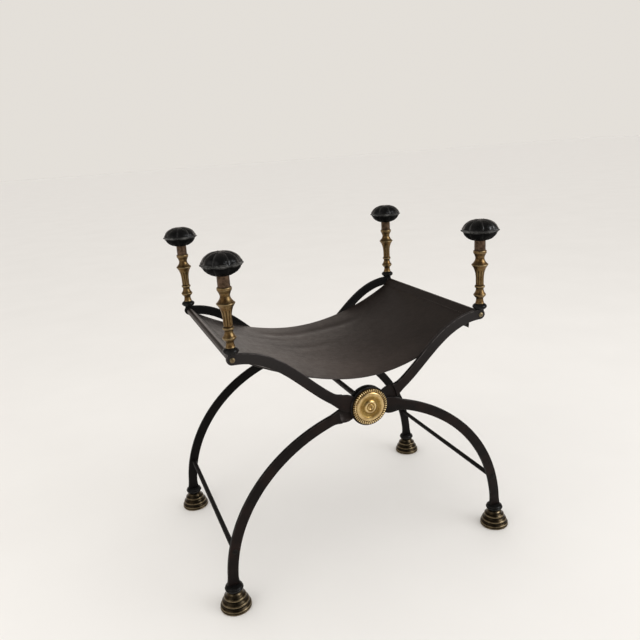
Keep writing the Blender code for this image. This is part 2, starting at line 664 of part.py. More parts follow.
def make_stool():
    clear_scene()
    stool = new_collection("wrought_iron_stool")
    cutters = new_collection("cutters")
    iron = finish("wrought_iron", (0.018, 0.016, 0.015), 0.5, 0.6)
    steel = finish("plain_steel", (0.30, 0.29, 0.28), 0.4, 1.0)
    post_brass = finish("aged_brass", (0.22, 0.15, 0.055), 0.38, 1.0)
    bright_brass = finish("bright_brass", (0.62, 0.42, 0.14), 0.22, 1.0)
    foot_brass = finish("dark_brass", (0.10, 0.075, 0.035), 0.42, 1.0)
    knob_leather = finish("black_leather", (0.010, 0.010, 0.012), 0.35, 0.0)
    seat_leather = finish("brown_black_leather", (0.030, 0.022, 0.018), 0.45, 0.0)
    wood = finish("turned_beech", (0.45, 0.30, 0.16), 0.6, 0.0)
    frames = {
        LEFT: hinge_empty("left_frame", stool),
        RIGHT: hinge_empty("right_frame", stool),
    }
    bpy.context.view_layer.update()
    side_names = {LEFT: "left", RIGHT: "right"}
    face_names = {FRONT: "front", REAR: "rear"}

    def add(obj, frame, material):
        return place(obj, stool, frames[frame], material)

    rivet_point = stretcher_point(bar_middle_line())
    rod_length = 2 * (BAR_INNER - GAP)
    seat_rod = rod_profile(SEAT_ROD_DIAMETER, rod_length, SCREW_DIAMETER / 2 + PLAY, SCREW_GRIP + PLAY)
    stretcher = rod_profile(STRETCHER_DIAMETER, rod_length, RIVET_DIAMETER / 2 + PLAY, RIVET_GRIP + PLAY)
    pin_reach = BAR_THICKNESS + 2 * GAP
    screw = headed_pin_profile(
        SCREW_HEAD_DIAMETER, SCREW_HEAD_HEIGHT, SCREW_DIAMETER, pin_reach + SCREW_GRIP
    )
    rivet = headed_pin_profile(
        RIVET_HEAD_DIAMETER, RIVET_HEAD_HEIGHT, RIVET_DIAMETER, pin_reach + RIVET_GRIP
    )
    post = bored(stacked(POST_HEIGHT, POST_TOP_RADIUS, POST_MEMBERS), STUD_HOLE, POST_HEIGHT, 0)
    stud = STUD_DIAMETER / 2
    post_stud_bottom = PAD_TOP - STUD_IN_ARM
    post_stud_length = KNOB_BOTTOM + STUD_IN_CORE - post_stud_bottom
    post_stud = [(0, post_stud_length), (stud, post_stud_length), (stud, 0), (0, 0)]
    foot_stud_bottom = FOOT_HEIGHT - STUD_IN_FOOT
    foot_stud_length = LEG_END + STUD_IN_LEG - foot_stud_bottom
    foot_stud = [(0, foot_stud_length), (stud, foot_stud_length), (stud, 0), (0, 0)]
    outer_face = BAR_OUTER + GAP

    for side in (LEFT, RIGHT):
        side_name = side_names[side]
        # A frame's arms are on its own side and its legs on the other.
        legs_of = -side
        arm = side * ARM_REACH
        leg = side * rivet_point.x
        foot = side * FOOT_REACH
        rod_name = side_name + "_seat_rod"
        add(turned(rod_name, seat_rod, (arm, 0, ARM_HEIGHT), PIN_STEPS, FRONT), side, iron)
        rod_name = side_name + "_stretcher"
        add(turned(rod_name, stretcher, (leg, 0, rivet_point.y), PIN_STEPS, FRONT), legs_of, iron)
        for face in (FRONT, REAR):
            face_name = face_names[face]
            middle = face * BAR_MIDDLE
            outside = face * outer_face
            corner = face_name + "_" + side_name
            add(make_bar(f"{side_name}_frame_{face_name}_bar", side, face, cutters), side, iron)
            screw_name = corner + "_seat_screw"
            add(turned(screw_name, screw, (arm, outside, ARM_HEIGHT), PIN_STEPS, face), side, post_brass)
            rivet_name = corner + "_rivet"
            add(turned(rivet_name, rivet, (leg, outside, rivet_point.y), PIN_STEPS, face), legs_of, iron)
            seat = (arm, middle, COLLAR_BOTTOM)
            add(turned(corner + "_collar", collar_profile(), seat, closed=True), side, iron)
            seat = (arm, middle, POST_BOTTOM)
            add(turned(corner + "_post", post, seat, closed=True), side, post_brass)
            seat = (arm, middle, post_stud_bottom)
            add(turned(corner + "_post_stud", post_stud, seat, PIN_STEPS), side, steel)
            seat = (arm, middle, KNOB_BOTTOM)
            add(turned(corner + "_knob_core", knob_core(), seat, PIN_STEPS), side, wood)
            add(stuffed_knob(corner + "_knob", seat, cutters), side, knob_leather)
            seat = (foot, middle, KNOP_BOTTOM)
            add(turned(corner + "_knop", knop_profile(), seat, closed=True), legs_of, iron)
            seat = (foot, middle, 0)
            add(turned(corner + "_foot", foot_profile(), seat, FOOT_ROUND_STEPS), legs_of, foot_brass)
            seat = (foot, middle, foot_stud_bottom)
            add(turned(corner + "_foot_stud", foot_stud, seat, PIN_STEPS), legs_of, steel)

    for face in (FRONT, REAR):
        face_name = face_names[face]
        centre = (0, face * outer_face, HUB_HEIGHT)
        add(turned(face_name + "_boss", boss_profile(), centre, WIDE_STEPS, face), LEFT, iron)
        centre = (0, face * (outer_face + BOSS_THICKNESS + GAP), HUB_HEIGHT)
        medallion = turned(face_name + "_medallion", medallion_profile(), centre, WIDE_STEPS, face)
        add(medallion, LEFT, bright_brass)
        rim = HUB_DISC_DIAMETER / 2
        disc = bored([(rim, HUB_DISC_THICKNESS), (rim, 0)], AXLE_HOLE, HUB_DISC_THICKNESS, 0)
        centre = (0, face * (BAR_INNER - GAP - HUB_DISC_THICKNESS), HUB_HEIGHT)
        add(turned(face_name + "_hub_disc", disc, centre, WIDE_STEPS, face, True), LEFT, iron)

    axle = AXLE_DIAMETER / 2
    axle_half = outer_face + BOSS_SOCKET
    axle_profile = [(0, axle_half), (axle, axle_half), (axle, -axle_half), (0, -axle_half)]
    add(turned("pivot_axle", axle_profile, (0, 0, HUB_HEIGHT), PIN_STEPS, FRONT), LEFT, iron)
    add(make_sling("leather_sling"), LEFT, seat_leather)


make_stool()
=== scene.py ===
"""Looks of the wrought iron folding stool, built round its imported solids.

Metres, +Z up, front towards -Y, origin on the floor under the axle. The left frame has the left arms and
the right legs, the right frame is its mirror image, and each piece rides on the frame that carries it.
"""

import math

import bmesh
import bpy
import numpy as np
from mathutils import Matrix, Vector, noise
from mathutils.geometry import interpolate_bezier


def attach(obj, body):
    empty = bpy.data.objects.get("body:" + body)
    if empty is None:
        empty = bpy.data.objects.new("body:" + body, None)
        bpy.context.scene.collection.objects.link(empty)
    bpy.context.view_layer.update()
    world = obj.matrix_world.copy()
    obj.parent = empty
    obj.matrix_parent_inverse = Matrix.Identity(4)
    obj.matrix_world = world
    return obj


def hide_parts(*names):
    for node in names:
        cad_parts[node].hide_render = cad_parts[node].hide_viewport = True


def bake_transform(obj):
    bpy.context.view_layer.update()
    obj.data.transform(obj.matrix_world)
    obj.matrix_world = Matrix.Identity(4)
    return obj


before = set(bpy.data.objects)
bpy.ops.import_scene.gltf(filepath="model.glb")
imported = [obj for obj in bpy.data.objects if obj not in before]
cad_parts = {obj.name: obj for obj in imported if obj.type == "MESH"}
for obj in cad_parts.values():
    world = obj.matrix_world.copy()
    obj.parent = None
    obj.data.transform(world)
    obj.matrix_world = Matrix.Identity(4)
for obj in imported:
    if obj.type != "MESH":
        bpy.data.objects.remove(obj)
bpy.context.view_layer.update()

FRONT = -1
REAR = 1
LEFT = -1
RIGHT = 1
SIDES = ((LEFT, "left"), (RIGHT, "right"))
FACES = ((FRONT, "front"), (REAR, "rear"))
GAP = 0.0003  # between neighbouring pieces

# Camera that took the picture
CAMERA_PLACE = Vector((-0.48195, -1.22947, 0.85171))
CAMERA_YAW = math.radians(20.910)
CAMERA_PITCH = math.radians(15.805)
CAMERA_ROLL = math.radians(3.742)
CAMERA_LENS = 35.582

# Flat bars
BAR_MIDDLE = 0.1985
BAR_THICKNESS = 0.008
BAR_OUTER = BAR_MIDDLE + BAR_THICKNESS / 2
BAR_INNER = BAR_MIDDLE - BAR_THICKNESS / 2
BAR_EDGE = 0.0013  # rounding along the edges
ARM_WIDTH = 0.0200
LEG_WIDTH = 0.0205
HUB_HEIGHT = 0.353
HUB_SLOPE = math.radians(4.7)
ARM_REACH = 0.257
ARM_HEIGHT = 0.495
FOOT_REACH = 0.299
ARM_END_PULL = 0.113
ARM_HUB_PULL = 0.107
LEG_HUB_PULL = 0.168
LEG_END_PULL = 0.162
OUTER_SHOULDER = 0.0085
FORK_SHOULDER = 0.0045
SHOULDER_AT = 0.047
SHOULDER_SPREAD = 0.034
PAD_WIDTH = 0.0148
PAD_RISE = 0.0008
LEG_FLARE = 0.0022
LEG_FLARE_LENGTH = 0.020
LEG_END = 0.0496
LAP_RADIUS = 0.0622
HAMMER_DEPTH = 0.00022  # unevenness left by the hammer
HAMMER_SPOTS = 55  # to the metre
EDGE_HELD_IN = 0.6  # share of that unevenness that the edges lack
LEG_EDGE_WEAR_AND_LIGHT = 0.3  # paleness of the legs' edges beside that of the arm ends, which are paler from wear and painted light
LOWER_EDGE_WEAR_AND_HIGHLIGHT = 0.35  # paleness of the lower edges beside that of the upper ones, which are paler from wear and a painted highlight
SIDES_SHADED_BELOW = 0.438  # the bars' narrow sides take the darker iron, painted shade, below this height

# Rods, axle and fastenings
TURNED_EDGE = 0.0006  # small rounding of rods, discs and knops
ROD_WEAR = 0.15
SEAT_ROD = 0.00525  # radius
STRETCHER = 0.0049
STRETCHER_HEIGHT = 0.120
AXLE = 0.0055
AXLE_SOCKET = 0.0010
SCREW_HEAD = 0.0050
SCREW_HEAD_HEIGHT = 0.0030
RIVET_HEAD = 0.0052
RIVET_HEAD_HEIGHT = 0.0016

# Boss and medallion on the outer side of the crossing, plain disc on its inner side
BOSS = 0.03925  # radius
BOSS_THICKNESS = 0.0022
HUB_DISC = 0.03875
HUB_DISC_THICKNESS = 0.0050
MEDALLION = 0.0364
ROPE_SEAT = 0.0293  # inner radius of the darkened channel under the rope rim
ROPE_WIDTH = 0.0068
ROPE_HEIGHT = 0.0026  # middle of the rope's beads above the medallion's back
ROPE_BEADS = 48
ROPE_BEAD_LENGTH = 0.0070
ROPE_BEAD_WIDTH = 0.0031
ROPE_BEAD_HEIGHT = 0.0052
ROPE_SLANT = math.radians(14)
ROPE_RUBBED_AND_LIT = 0.0007  # a bead is paler from this far above its middle, rubbed brass and a painted highlight
CHANNEL_SIDE = 0.0012  # width of the channel's sloping side

# Collar, post and knob on an arm
COLLAR = 0.0143
COLLAR_NECK = 0.00925
COLLAR_HEIGHT = 0.0115
COLLAR_BOTTOM = 0.5061
POST_BOTTOM = 0.5179
POST_TOP_RADIUS = 0.0109
# Turned members of a post from its top: length, radius at the member's lower end, softness of that edge
POST_MEMBERS = (
    (0.0193, 0.0109, 0.0003),  # plain neck
    (0.0011, 0.0130, 0.0012),  # ring
    (0.0047, 0.0130, 0.0016),
    (0.0017, 0.0117, 0.0010),
    (0.0055, 0.0094, 0.0026),  # waist
    (0.0034, 0.0086, 0.0018),
    (0.0050, 0.0102, 0.0026),
    (0.0043, 0.0134, 0.0020),
    (0.0032, 0.0169, 0.0014),  # ridge
    (0.0032, 0.0145, 0.0012),
    (0.0034, 0.0125, 0.0008),
    (0.0014, 0.0117, 0.0006),
    (0.0078, 0.0092, 0.0030),  # shaft, hollowed like a bell
    (0.0095, 0.0080, 0.0040),
    (0.0163, 0.0080, 0.0004),
    (0.0012, 0.0100, 0.0007),  # bead
    (0.0030, 0.0100, 0.0007),
    (0.0014, 0.0078, 0.0006),
    (0.0034, 0.0074, 0.0016),
    (0.0062, 0.0095, 0.0026),
    (0.0040, 0.0128, 0.0012),  # lower ridge
    (0.0033, 0.0110, 0.0014),
    (0.0042, 0.0068, 0.0022),
    (0.0064, 0.0076, 0.0022),
    (0.0045, 0.0091, 0.0008),  # flared base
)
SHAFT_FIRST = 12
SHAFT_LAST = 14
FLUTES = 10
FLUTE_DEPTH = 0.0009
GROOVE_DEPTH = 0.00035
GROOVE_WIDTH = 0.00035
GROOVES_BELOW_RING = (0.0012, 0.0034, 0.0052)
POST_HEIGHT = sum(member[0] for member in POST_MEMBERS)
KNOB_BOTTOM = POST_BOTTOM + POST_HEIGHT + GAP
KNOB = 0.03725  # radius over the welt
KNOB_WELT = 0.0037
KNOB_CROWN = 0.0210
KNOB_UNDERSIDE = 0.0193
KNOB_GORES = 8
KNOB_SEAM = 0.0010  # height of the sewn ridges on the crown
KNOB_VALLEY = 0.0003  # depth of the leather beside them
KNOB_RIPPLE = 0.00030  # broad and fine unevenness of the crown
KNOB_WAVES = 0.00016
UNDER_SEAM = 0.0007
UNDER_VALLEY = 0.0004
UNDER_PLEATS = 22
UNDER_PLEAT_DEPTH = 0.00042
UNDER_WAVES = 0.0003
WELT_WAVES = 27
WELT_WAVE_OUT = 0.00012
WELT_WAVE_UP = 0.00042
WELT_RIPPLE_OUT = 0.00030
WELT_RIPPLE_UP = 0.00035
KNOB_NECK = 0.0112
UNDER_TUCK = 0.0014  # the underside starts this far inside the crown's edge
STUFFING = 20000  # pressure that fills a knob's cover
FILL_FRAMES = 20
MOST_SWELL = 0.002
# Upper half of the welt from the crown outwards: how far out of the body and how far above its middle
WELT_OUTLINE = ((0.0007, 0.0011), (0.0018, 0.0008), (0.0028, 0.0006), (0.0036, 0.0002))
DULL_BELOW = 0.0010  # the dull leather starts this far below the welt's middle
CORE = 0.0200
CORE_NECK = 0.00825
CORE_NECK_LENGTH = 0.0070
CORE_HEIGHT = 0.0280

# Ball knop and stepped foot
KNOP = 0.0180
KNOP_TOP = 0.0125
KNOP_NECK = 0.0120
KNOP_NECK_HEIGHT = 0.0012
KNOP_BALL_HEIGHT = 0.0128
KNOP_LIP = 0.64  # height of the crease under the ball's upper lip, as a share of the ball
KNOP_CREASE = 0.0011
KNOP_CREASE_WIDTH = 0.0009
KNOP_BOTTOM = 0.0353
FOOT_HEIGHT = 0.0350
FOOT_TOP_RADIUS = 0.0130
# Steps of a foot from its top: height of the step, radius at the step's lower end, softness of that edge
FOOT_STEPS = (
    (0.0018, 0.0150, 0.0010),  # cap
    (0.0040, 0.0172, 0.0020),
    (0.0030, 0.0212, 0.0010),  # upper ring
    (0.0022, 0.0216, 0.0008),
    (0.0014, 0.0200, 0.0006),
    (0.0040, 0.0226, 0.0018),
    (0.0026, 0.0262, 0.0010),  # middle ring
    (0.0022, 0.0266, 0.0008),
    (0.0014, 0.0252, 0.0006),
    (0.0034, 0.0272, 0.0014),
    (0.0018, 0.0298, 0.0008),  # lower ring
    (0.0018, 0.0300, 0.0007),
    (0.0010, 0.0290, 0.0005),
    (0.0020, 0.0305, 0.0010),  # base
    (0.0024, 0.0296, 0.0008),
)

# Leather sling
LEATHER = 0.0025
LOOP_LEATHER = 0.0014  # pared thin to turn round the rods
SLING_WIDTH = 0.370
SLING_LOW = 0.4180
SEAM_INSET = 0.0150
SEAM_DROP = 0.0075
WRAP_TURN = math.radians(112)
FLAP_LENGTH = 0.0120  # loose end under the left of the seat
FLAP_DROOP = 0.0008
HANGING_FLAP = 0.0195  # loose end that hangs down inside the right rod
HANGING_FLAP_BEND = 0.0030
FLAP_BEHIND = 0.0060  # the hanging flap's faces start this far inside the seam and this far below it
FLAP_BELOW = 0.0055
RIGHT_END = 0.0010  # the leather of the right end starts this far inside the seam
LOOP_START = 0.0040  # the loops start this far outside the seams
EDGE_ROUNDING = 0.0012
SEAT_STEPS = 84
LOOP_CREST = 0.0010  # the left loop's outer side starts this far outside the middle of the rod
SEAM_GROOVE = 0.0020  # the leather is drawn in this far beside each seam
CREASE_DEPTH = 0.0007
CREASE_WIDTH = 0.0020
FRONT_DROOP = 0.0110  # how far the front edge hangs below the rest
DROOP_AT = 0.060
DROOP_SPREAD = 0.16
# Soft streaks of the seat: place along Y, start and end along X, depth and width
SEAT_STREAKS = (
    (0.112, -0.150, 0.150, 0.0017, 0.0165),
    (0.066, -0.190, -0.030, 0.0005, 0.0090),
    (0.012, -0.120, 0.050, 0.0006, 0.0140),
)
STREAK_FADE = 0.07
STREAK_BEND = 0.016  # how far the streaks wander
HOLLOW_DEPTH = 0.0011
FINE_STREAKS = 0.00015
FREE_FROM = 0.150  # wrinkles fade between these distances from the seat's middle
FREE_TO = 0.228
# Pale lines along the left loop, wear and painted highlights: angle above outward and spread in degrees, and
# how pale
LOOP_WEAR_AND_HIGHLIGHTS = ((25, 9, 0.5), (105, 15, 1))
STITCHES = 54
STITCH_LENGTH = 0.0052
THREAD = 0.0012
STITCH_LEAN = 0.10
STITCH_MARGIN = 0.007  # first stitch from the leather's edge
STITCH_ROW = Vector((0.0025, 0.0015))  # the row of stitches from the seam


def add_camera():
    ahead = Vector((
        math.sin(CAMERA_YAW) * math.cos(CAMERA_PITCH),
        math.cos(CAMERA_YAW) * math.cos(CAMERA_PITCH),
        -math.sin(CAMERA_PITCH),
    ))
    across = Vector((math.cos(CAMERA_YAW), -math.sin(CAMERA_YAW), 0))
    down = ahead.cross(across)
    right = across * math.cos(CAMERA_ROLL) + down * math.sin(CAMERA_ROLL)
    below = down * math.cos(CAMERA_ROLL) - across * math.sin(CAMERA_ROLL)
    place = Matrix((right, -below, -ahead)).transposed().to_4x4()
    place.translation = CAMERA_PLACE
    data = bpy.data.cameras.new("camera")
    data.lens = CAMERA_LENS
    data.sensor_width = 36
    camera = bpy.data.objects.new("camera", data)
    camera.matrix_world = place
    bpy.context.scene.collection.objects.link(camera)
    bpy.context.scene.camera = camera


def add_soft_light(name, place, aim, width, height, power, colour):
    data = bpy.data.lights.new(name, "AREA")
    data.shape = "RECTANGLE"
    data.size = width
    data.size_y = height
    data.energy = power
    data.color = colour
    light = bpy.data.objects.new(name, data)
    light.location = place
    light.rotation_euler = (Vector(aim) - Vector(place)).to_track_quat("-Z", "Y").to_euler()
    bpy.context.scene.collection.objects.link(light)
    return light


def feed(tree, socket, value):
    """Links a socket to another one, or sets its value."""
    if isinstance(value, bpy.types.NodeSocket):
        tree.links.new(value, socket)
    else:
        socket.default_value = value


def add_node(tree, kind, inputs=None, **settings):
    """A new node with its settings, and its inputs linked or set."""
    node = tree.nodes.new(kind)
    for name, value in settings.items():
        setattr(node, name, value)
    for name, value in (inputs or {}).items():
        feed(tree, node.inputs[name], value)
    return node


def blank_finish(name, **values):
    """A new material with fixed values on its shader, and its node tree, shader and object coordinates."""
    material = bpy.data.materials.new(name)
    material.use_nodes = True
    tree = material.node_tree
    shader = tree.nodes["Principled BSDF"]
    for socket, value in values.items():
        shader.inputs[socket.replace("_", " ")].default_value = value
    place = add_node(tree, "ShaderNodeTexCoord").outputs["Object"]
    return material, tree, shader, place


def coat(tree, shader, **sockets):
    """Leads a finish's colour, roughness and relief to its shader."""
    for name, value in sockets.items():
        tree.links.new(value, shader.inputs[name.replace("_", " ")])


def cloud(tree, place, scale, detail=4, roughness=0.55):
    """Cloudy pattern, from 0 to 1, with about scale spots to the metre."""
    inputs = {"Vector": place, "Scale": scale, "Detail": detail, "Roughness": roughness}
    return add_node(tree, "ShaderNodeTexNoise", inputs).outputs["Fac"]


def spread(tree, value, low, high, new_low, new_high):
    """Stretches a value from one range to another, and stops at its ends."""
    inputs = {"Value": value, "From Min": low, "From Max": high, "To Min": new_low, "To Max": new_high}
    return add_node(tree, "ShaderNodeMapRange", inputs).outputs["Result"]


def tinted(tree, amount, first, second):
    """A colour between two others, which are colours or sockets."""
    node = add_node(tree, "ShaderNodeMix", {"Factor": amount}, data_type="RGBA")
    for socket, colour in ((node.inputs[6], first), (node.inputs[7], second)):
        feed(tree, socket, colour if isinstance(colour, bpy.types.NodeSocket) else (*colour, 1))
    return node.outputs[2]


def mark(tree, name):
    """A value that the mesh holds at each point."""
    return add_node(tree, "ShaderNodeAttribute", attribute_name=name).outputs["Fac"]


def reckon(tree, operation, first, second):
    return add_node(tree, "ShaderNodeMath", {0: first, 1: second}, operation=operation).outputs[0]


def relief(tree, height, depth, under=None):
    """Fine surface relief of that depth in metres."""
    inputs = {"Height": height, "Distance": depth, "Strength": 1.0}
    if under:
        inputs["Normal"] = under
    return add_node(tree, "ShaderNodeBump", inputs).outputs["Normal"]


def iron_finish(name, dark, brown, wear_and_highlight, smooth, rough):
    """Forged iron under old black: brownish clouds, edges paler from wear and a painted highlight, arms paler
    as painted light, a faint hammered skin.
    """
    material, tree, shader, place = blank_finish(name, Specular_IOR_Level=0.09)
    patches = spread(tree, cloud(tree, place, 22, 6), 0.38, 0.66, 0, 1)
    skin = tinted(tree, patches, dark, brown)
    up = add_node(tree, "ShaderNodeSeparateXYZ", {"Vector": place}).outputs["Z"]
    # Painted light: the iron is paler upwards from the hub to the arms.
    held_and_lit = spread(tree, up, HUB_HEIGHT + 0.01, ARM_HEIGHT, 0, 1)
    skin = tinted(tree, held_and_lit, skin, tuple(0.17 * part for part in wear_and_highlight))
    # Edges paler from wear; on the bars' upper edges this is also a painted highlight.
    rubbed = spread(tree, cloud(tree, place, 90, 5), 0.40, 0.70, 0.1, 1)
    rubbed = reckon(tree, "MULTIPLY", rubbed, mark(tree, "edge"))
    skin = tinted(tree, rubbed, skin, wear_and_highlight)
    dull = spread(tree, cloud(tree, place, 140, 5), 0.3, 0.7, smooth, rough)
    blows = relief(tree, cloud(tree, place, 75, 2), 0.0009)
    pits = relief(tree, cloud(tree, place, 900, 3), 0.00012, blows)
    coat(tree, shader, Base_Color=skin, Roughness=dull, Normal=pits)
    return material


def brass_finish(name, grime, body, bright, smooth, rough, neck=None):
    """Old brass: grime in the hollows, rubbed metal on the ridges, cloudy tarnish between.

    neck is a browner colour for the plain top of a post.
    """
    material, tree, shader, place = blank_finish(name, Metallic=1.0)
    tarnish = spread(tree, cloud(tree, place, 120, 6), 0.38, 0.62, 0, 1)
    browned = tuple(part * share for part, share in zip(body, (0.72, 0.60, 0.50)))
    metal = tinted(tree, tarnish, body, browned)
    specks = spread(tree, cloud(tree, place, 380, 3), 0.54, 0.66, 0, 0.6)
    metal = tinted(tree, specks, metal, grime)
    height = mark(tree, "relief")
    untarnished = spread(tree, tarnish, 0, 1, 1, 0.55)
    ridge = reckon(tree, "MULTIPLY", spread(tree, height, 0.05, 0.8, 0, 1), untarnished)
    metal = tinted(tree, ridge, metal, bright)
    hollow = spread(tree, height, -0.80, -0.12, 1, 0)
    metal = tinted(tree, hollow, metal, grime)
    if neck:
        up = add_node(tree, "ShaderNodeSeparateXYZ", {"Vector": place}).outputs["Z"]
        neck_bottom = POST_BOTTOM + POST_HEIGHT - POST_MEMBERS[0][0]
        above = spread(tree, up, neck_bottom - 0.0002, neck_bottom + 0.0002, 0, 1)
        stains = spread(tree, cloud(tree, place, 150, 5), 0.42, 0.62, 0, 0.62)
        metal = tinted(tree, above, metal, tinted(tree, stains, neck, grime))
    dull = spread(tree, cloud(tree, place, 300, 4), 0.3, 0.7, smooth, rough)
    dull = reckon(tree, "ADD", dull, reckon(tree, "MULTIPLY", hollow, 0.18))
    scratches = relief(tree, cloud(tree, place, 700, 4), 0.00006)
    coat(tree, shader, Base_Color=metal, Roughness=dull, Normal=scratches)
    return material


def knob_leather_finish(name, shine, smooth, rough):
    """Thin black leather, drawn tight, paler along the welt and seams from wear and a painted highlight.
    shine is its gloss.
    """
    values = {"Coat_Weight": shine, "Coat_Roughness": 0.20, "Specular_IOR_Level": shine}
    material, tree, shader, place = blank_finish(name, **values)
    patches = spread(tree, cloud(tree, place, 60, 5), 0.35, 0.65, 0, 1)
    skin = tinted(tree, patches, (0.0026, 0.0026, 0.0027), (0.0052, 0.0052, 0.0050))
    uneven = spread(tree, cloud(tree, place, 70, 4), 0.42, 0.62, 0.25, 1)
    # Seams and welt paler from wear and a painted highlight.
    rubbed = reckon(tree, "MULTIPLY", mark(tree, "seam"), uneven)
    skin = tinted(tree, rubbed, skin, (0.110, 0.108, 0.104))
    dull = spread(tree, cloud(tree, place, 170, 5), 0.3, 0.7, smooth, rough)
    grain = add_node(tree, "ShaderNodeTexVoronoi", {"Vector": place, "Scale": 950.0}).outputs["Distance"]
    pores = relief(tree, grain, 0.00010)
    folds = relief(tree, cloud(tree, place, 190, 4), 0.00045, pores)
    coat(tree, shader, Base_Color=skin, Roughness=dull, Normal=folds)
    return material


def seat_leather_finish(name, shine):
    """Worn brown-black hide: mottled, with a fine grain, rubbed grey where people sit, which is also painted
    sheen, with pale worn lines and painted highlights on the left loop and painted shade in the crease by the
    left seam. shine is its gloss.
    """
    material, tree, shader, place = blank_finish(name, Specular_IOR_Level=shine)
    broad = spread(tree, cloud(tree, place, 9, 4), 0.35, 0.65, 0, 1)
    hide = tinted(tree, broad, (0.0085, 0.0052, 0.0038), (0.0115, 0.0074, 0.0056))
    mottle = spread(tree, cloud(tree, place, 55, 7, 0.65), 0.40, 0.72, 0, 0.45)
    hide = tinted(tree, mottle, hide, (0.017, 0.0115, 0.0090))
    # Paler grey where people sit, and painted sheen on the left and front of the seat.
    rubbed = reckon(tree, "MULTIPLY", mark(tree, "rubbed"), spread(tree, broad, 0, 1, 0.35, 0.8))
    hide = tinted(tree, rubbed, hide, (0.062, 0.044, 0.036))
    # Pale lines on the left loop: wear and painted highlights.
    hide = tinted(tree, mark(tree, "polished"), hide, (0.125, 0.108, 0.100))
    # Painted shade: darker in the crease beside the left seam.
    hide = tinted(tree, mark(tree, "crease"), hide, (0.006, 0.0045, 0.0038))
    dull = spread(tree, cloud(tree, place, 80, 6), 0.3, 0.7, 0.34, 0.44)
    grain = add_node(tree, "ShaderNodeTexVoronoi", {"Vector": place, "Scale": 620.0}).outputs["Distance"]
    pores = relief(tree, grain, 0.00012)
    wrinkles = relief(tree, cloud(tree, place, 130, 6, 0.6), 0.00028, pores)
    coat(tree, shader, Base_Color=hide, Roughness=dull, Normal=wrinkles)
    return material


def thread_finish():
    material, tree, shader, place = blank_finish("waxed_thread", Roughness=0.55)
    strands = spread(tree, cloud(tree, place, 1500, 2), 0.3, 0.7, 0, 1)
    coat(tree, shader, Base_Color=tinted(tree, strands, (0.022, 0.017, 0.014), (0.050, 0.041, 0.034)))
    return material


def steel_finish():
    material, tree, shader, place = blank_finish("plain_steel_rod", Metallic=1.0)
    stains = spread(tree, cloud(tree, place, 200, 4), 0.35, 0.65, 0, 1)
    metal = tinted(tree, stains, (0.34, 0.33, 0.32), (0.20, 0.18, 0.16))
    coat(tree, shader, Base_Color=metal, Roughness=spread(tree, stains, 0, 1, 0.30, 0.50))
    return material


def wood_finish():
    material, tree, shader, place = blank_finish("turned_beech_core", Roughness=0.6)
    inputs = {"Vector": place, "Scale": 140.0, "Distortion": 2.5, "Detail": 3.0}
    rings = add_node(tree, "ShaderNodeTexWave", inputs).outputs["Fac"]
    coat(tree, shader, Base_Color=tinted(tree, rings, (0.50, 0.34, 0.19), (0.36, 0.23, 0.12)))
    return material


def floor_finish():
    material, tree, shader, place = blank_finish("pale_floor", Roughness=0.6)
    tone = spread(tree, cloud(tree, place, 3, 3), 0.3, 0.7, 0, 1)
    coat(tree, shader, Base_Color=tinted(tree, tone, (0.795, 0.775, 0.75), (0.815, 0.795, 0.77)))
    return material


def add_floor():
    bpy.ops.mesh.primitive_plane_add(size=60, location=(0, 0, 0))
    floor = bpy.context.object
    floor.name = "floor"
    floor.data.materials.append(floor_finish())


def add_studio():
    """Pale light all round, mirrored darker overhead and in front, and three soft lamps."""
    bpy.context.scene.view_settings.view_transform = "Standard"
    world = bpy.data.worlds.new("studio")
    bpy.context.scene.world = world
    world.use_nodes = True
    sky = world.node_tree
    towards = add_node(sky, "ShaderNodeTexCoord").outputs["Generated"]
    parts = add_node(sky, "ShaderNodeSeparateXYZ", {"Vector": towards}).outputs
    behind = spread(sky, parts["Y"], -0.15, 0.55, 0.40, 1)
    overhead = spread(sky, parts["Z"], 0.08, 0.47, 1, 0.22)
    rays = add_node(sky, "ShaderNodeLightPath").outputs
    mirrored = rays["Is Glossy Ray"]
    seen = rays["Is Camera Ray"]
    plain = tinted(sky, seen, (1.18, 1.18, 1.18), (1, 1, 1))
    strength = tinted(sky, mirrored, plain, reckon(sky, "MULTIPLY", behind, overhead))
    tone = tinted(sky, seen, (0.90, 0.885, 0.86), (0.775, 0.742, 0.695))
    tone = tinted(sky, mirrored, tone, (0.98, 0.885, 0.81))
    sky.links.new(strength, sky.nodes["Background"].inputs["Strength"])
    sky.links.new(tone, sky.nodes["Background"].inputs["Color"])
    right_lamp = (1.9, -1.7, 1.8)
    left_lamp = (-2.0, -0.6, 1.5)
    seat_middle = (0.0, 0.0, 0.40)
    cool = (0.95, 0.97, 1.0)
    gleam = add_soft_light("gleam", right_lamp, seat_middle, 1.0, 1.2, 52, cool)
    gleam.visible_diffuse = False
    add_soft_light("main_lamp", right_lamp, seat_middle, 1.6, 1.6, 18, cool)
    add_soft_light("fill_lamp", left_lamp, seat_middle, 1.6, 1.6, 8, (1.0, 0.98, 0.95))


def make_mesh(name, points, faces, material, marks=None):
    """A welded, outward-facing mesh. marks are values at each point."""
    mesh = bpy.data.meshes.new(name)
    mesh.from_pydata(points, [], faces)
    for mark_name, values in (marks or {}).items():
        layer = mesh.attributes.new(mark_name, "FLOAT", "POINT")
        layer.data.foreach_set("value", np.ascontiguousarray(values, np.float32))
    shape = bmesh.new()
    shape.from_mesh(mesh)
    bmesh.ops.remove_doubles(shape, verts=shape.verts, dist=1e-6)
    bmesh.ops.dissolve_degenerate(shape, edges=shape.edges, dist=1e-7)
    bmesh.ops.recalc_face_normals(shape, faces=shape.faces)
    shape.to_mesh(mesh)
    shape.free()
    mesh.materials.append(material)
    return mesh


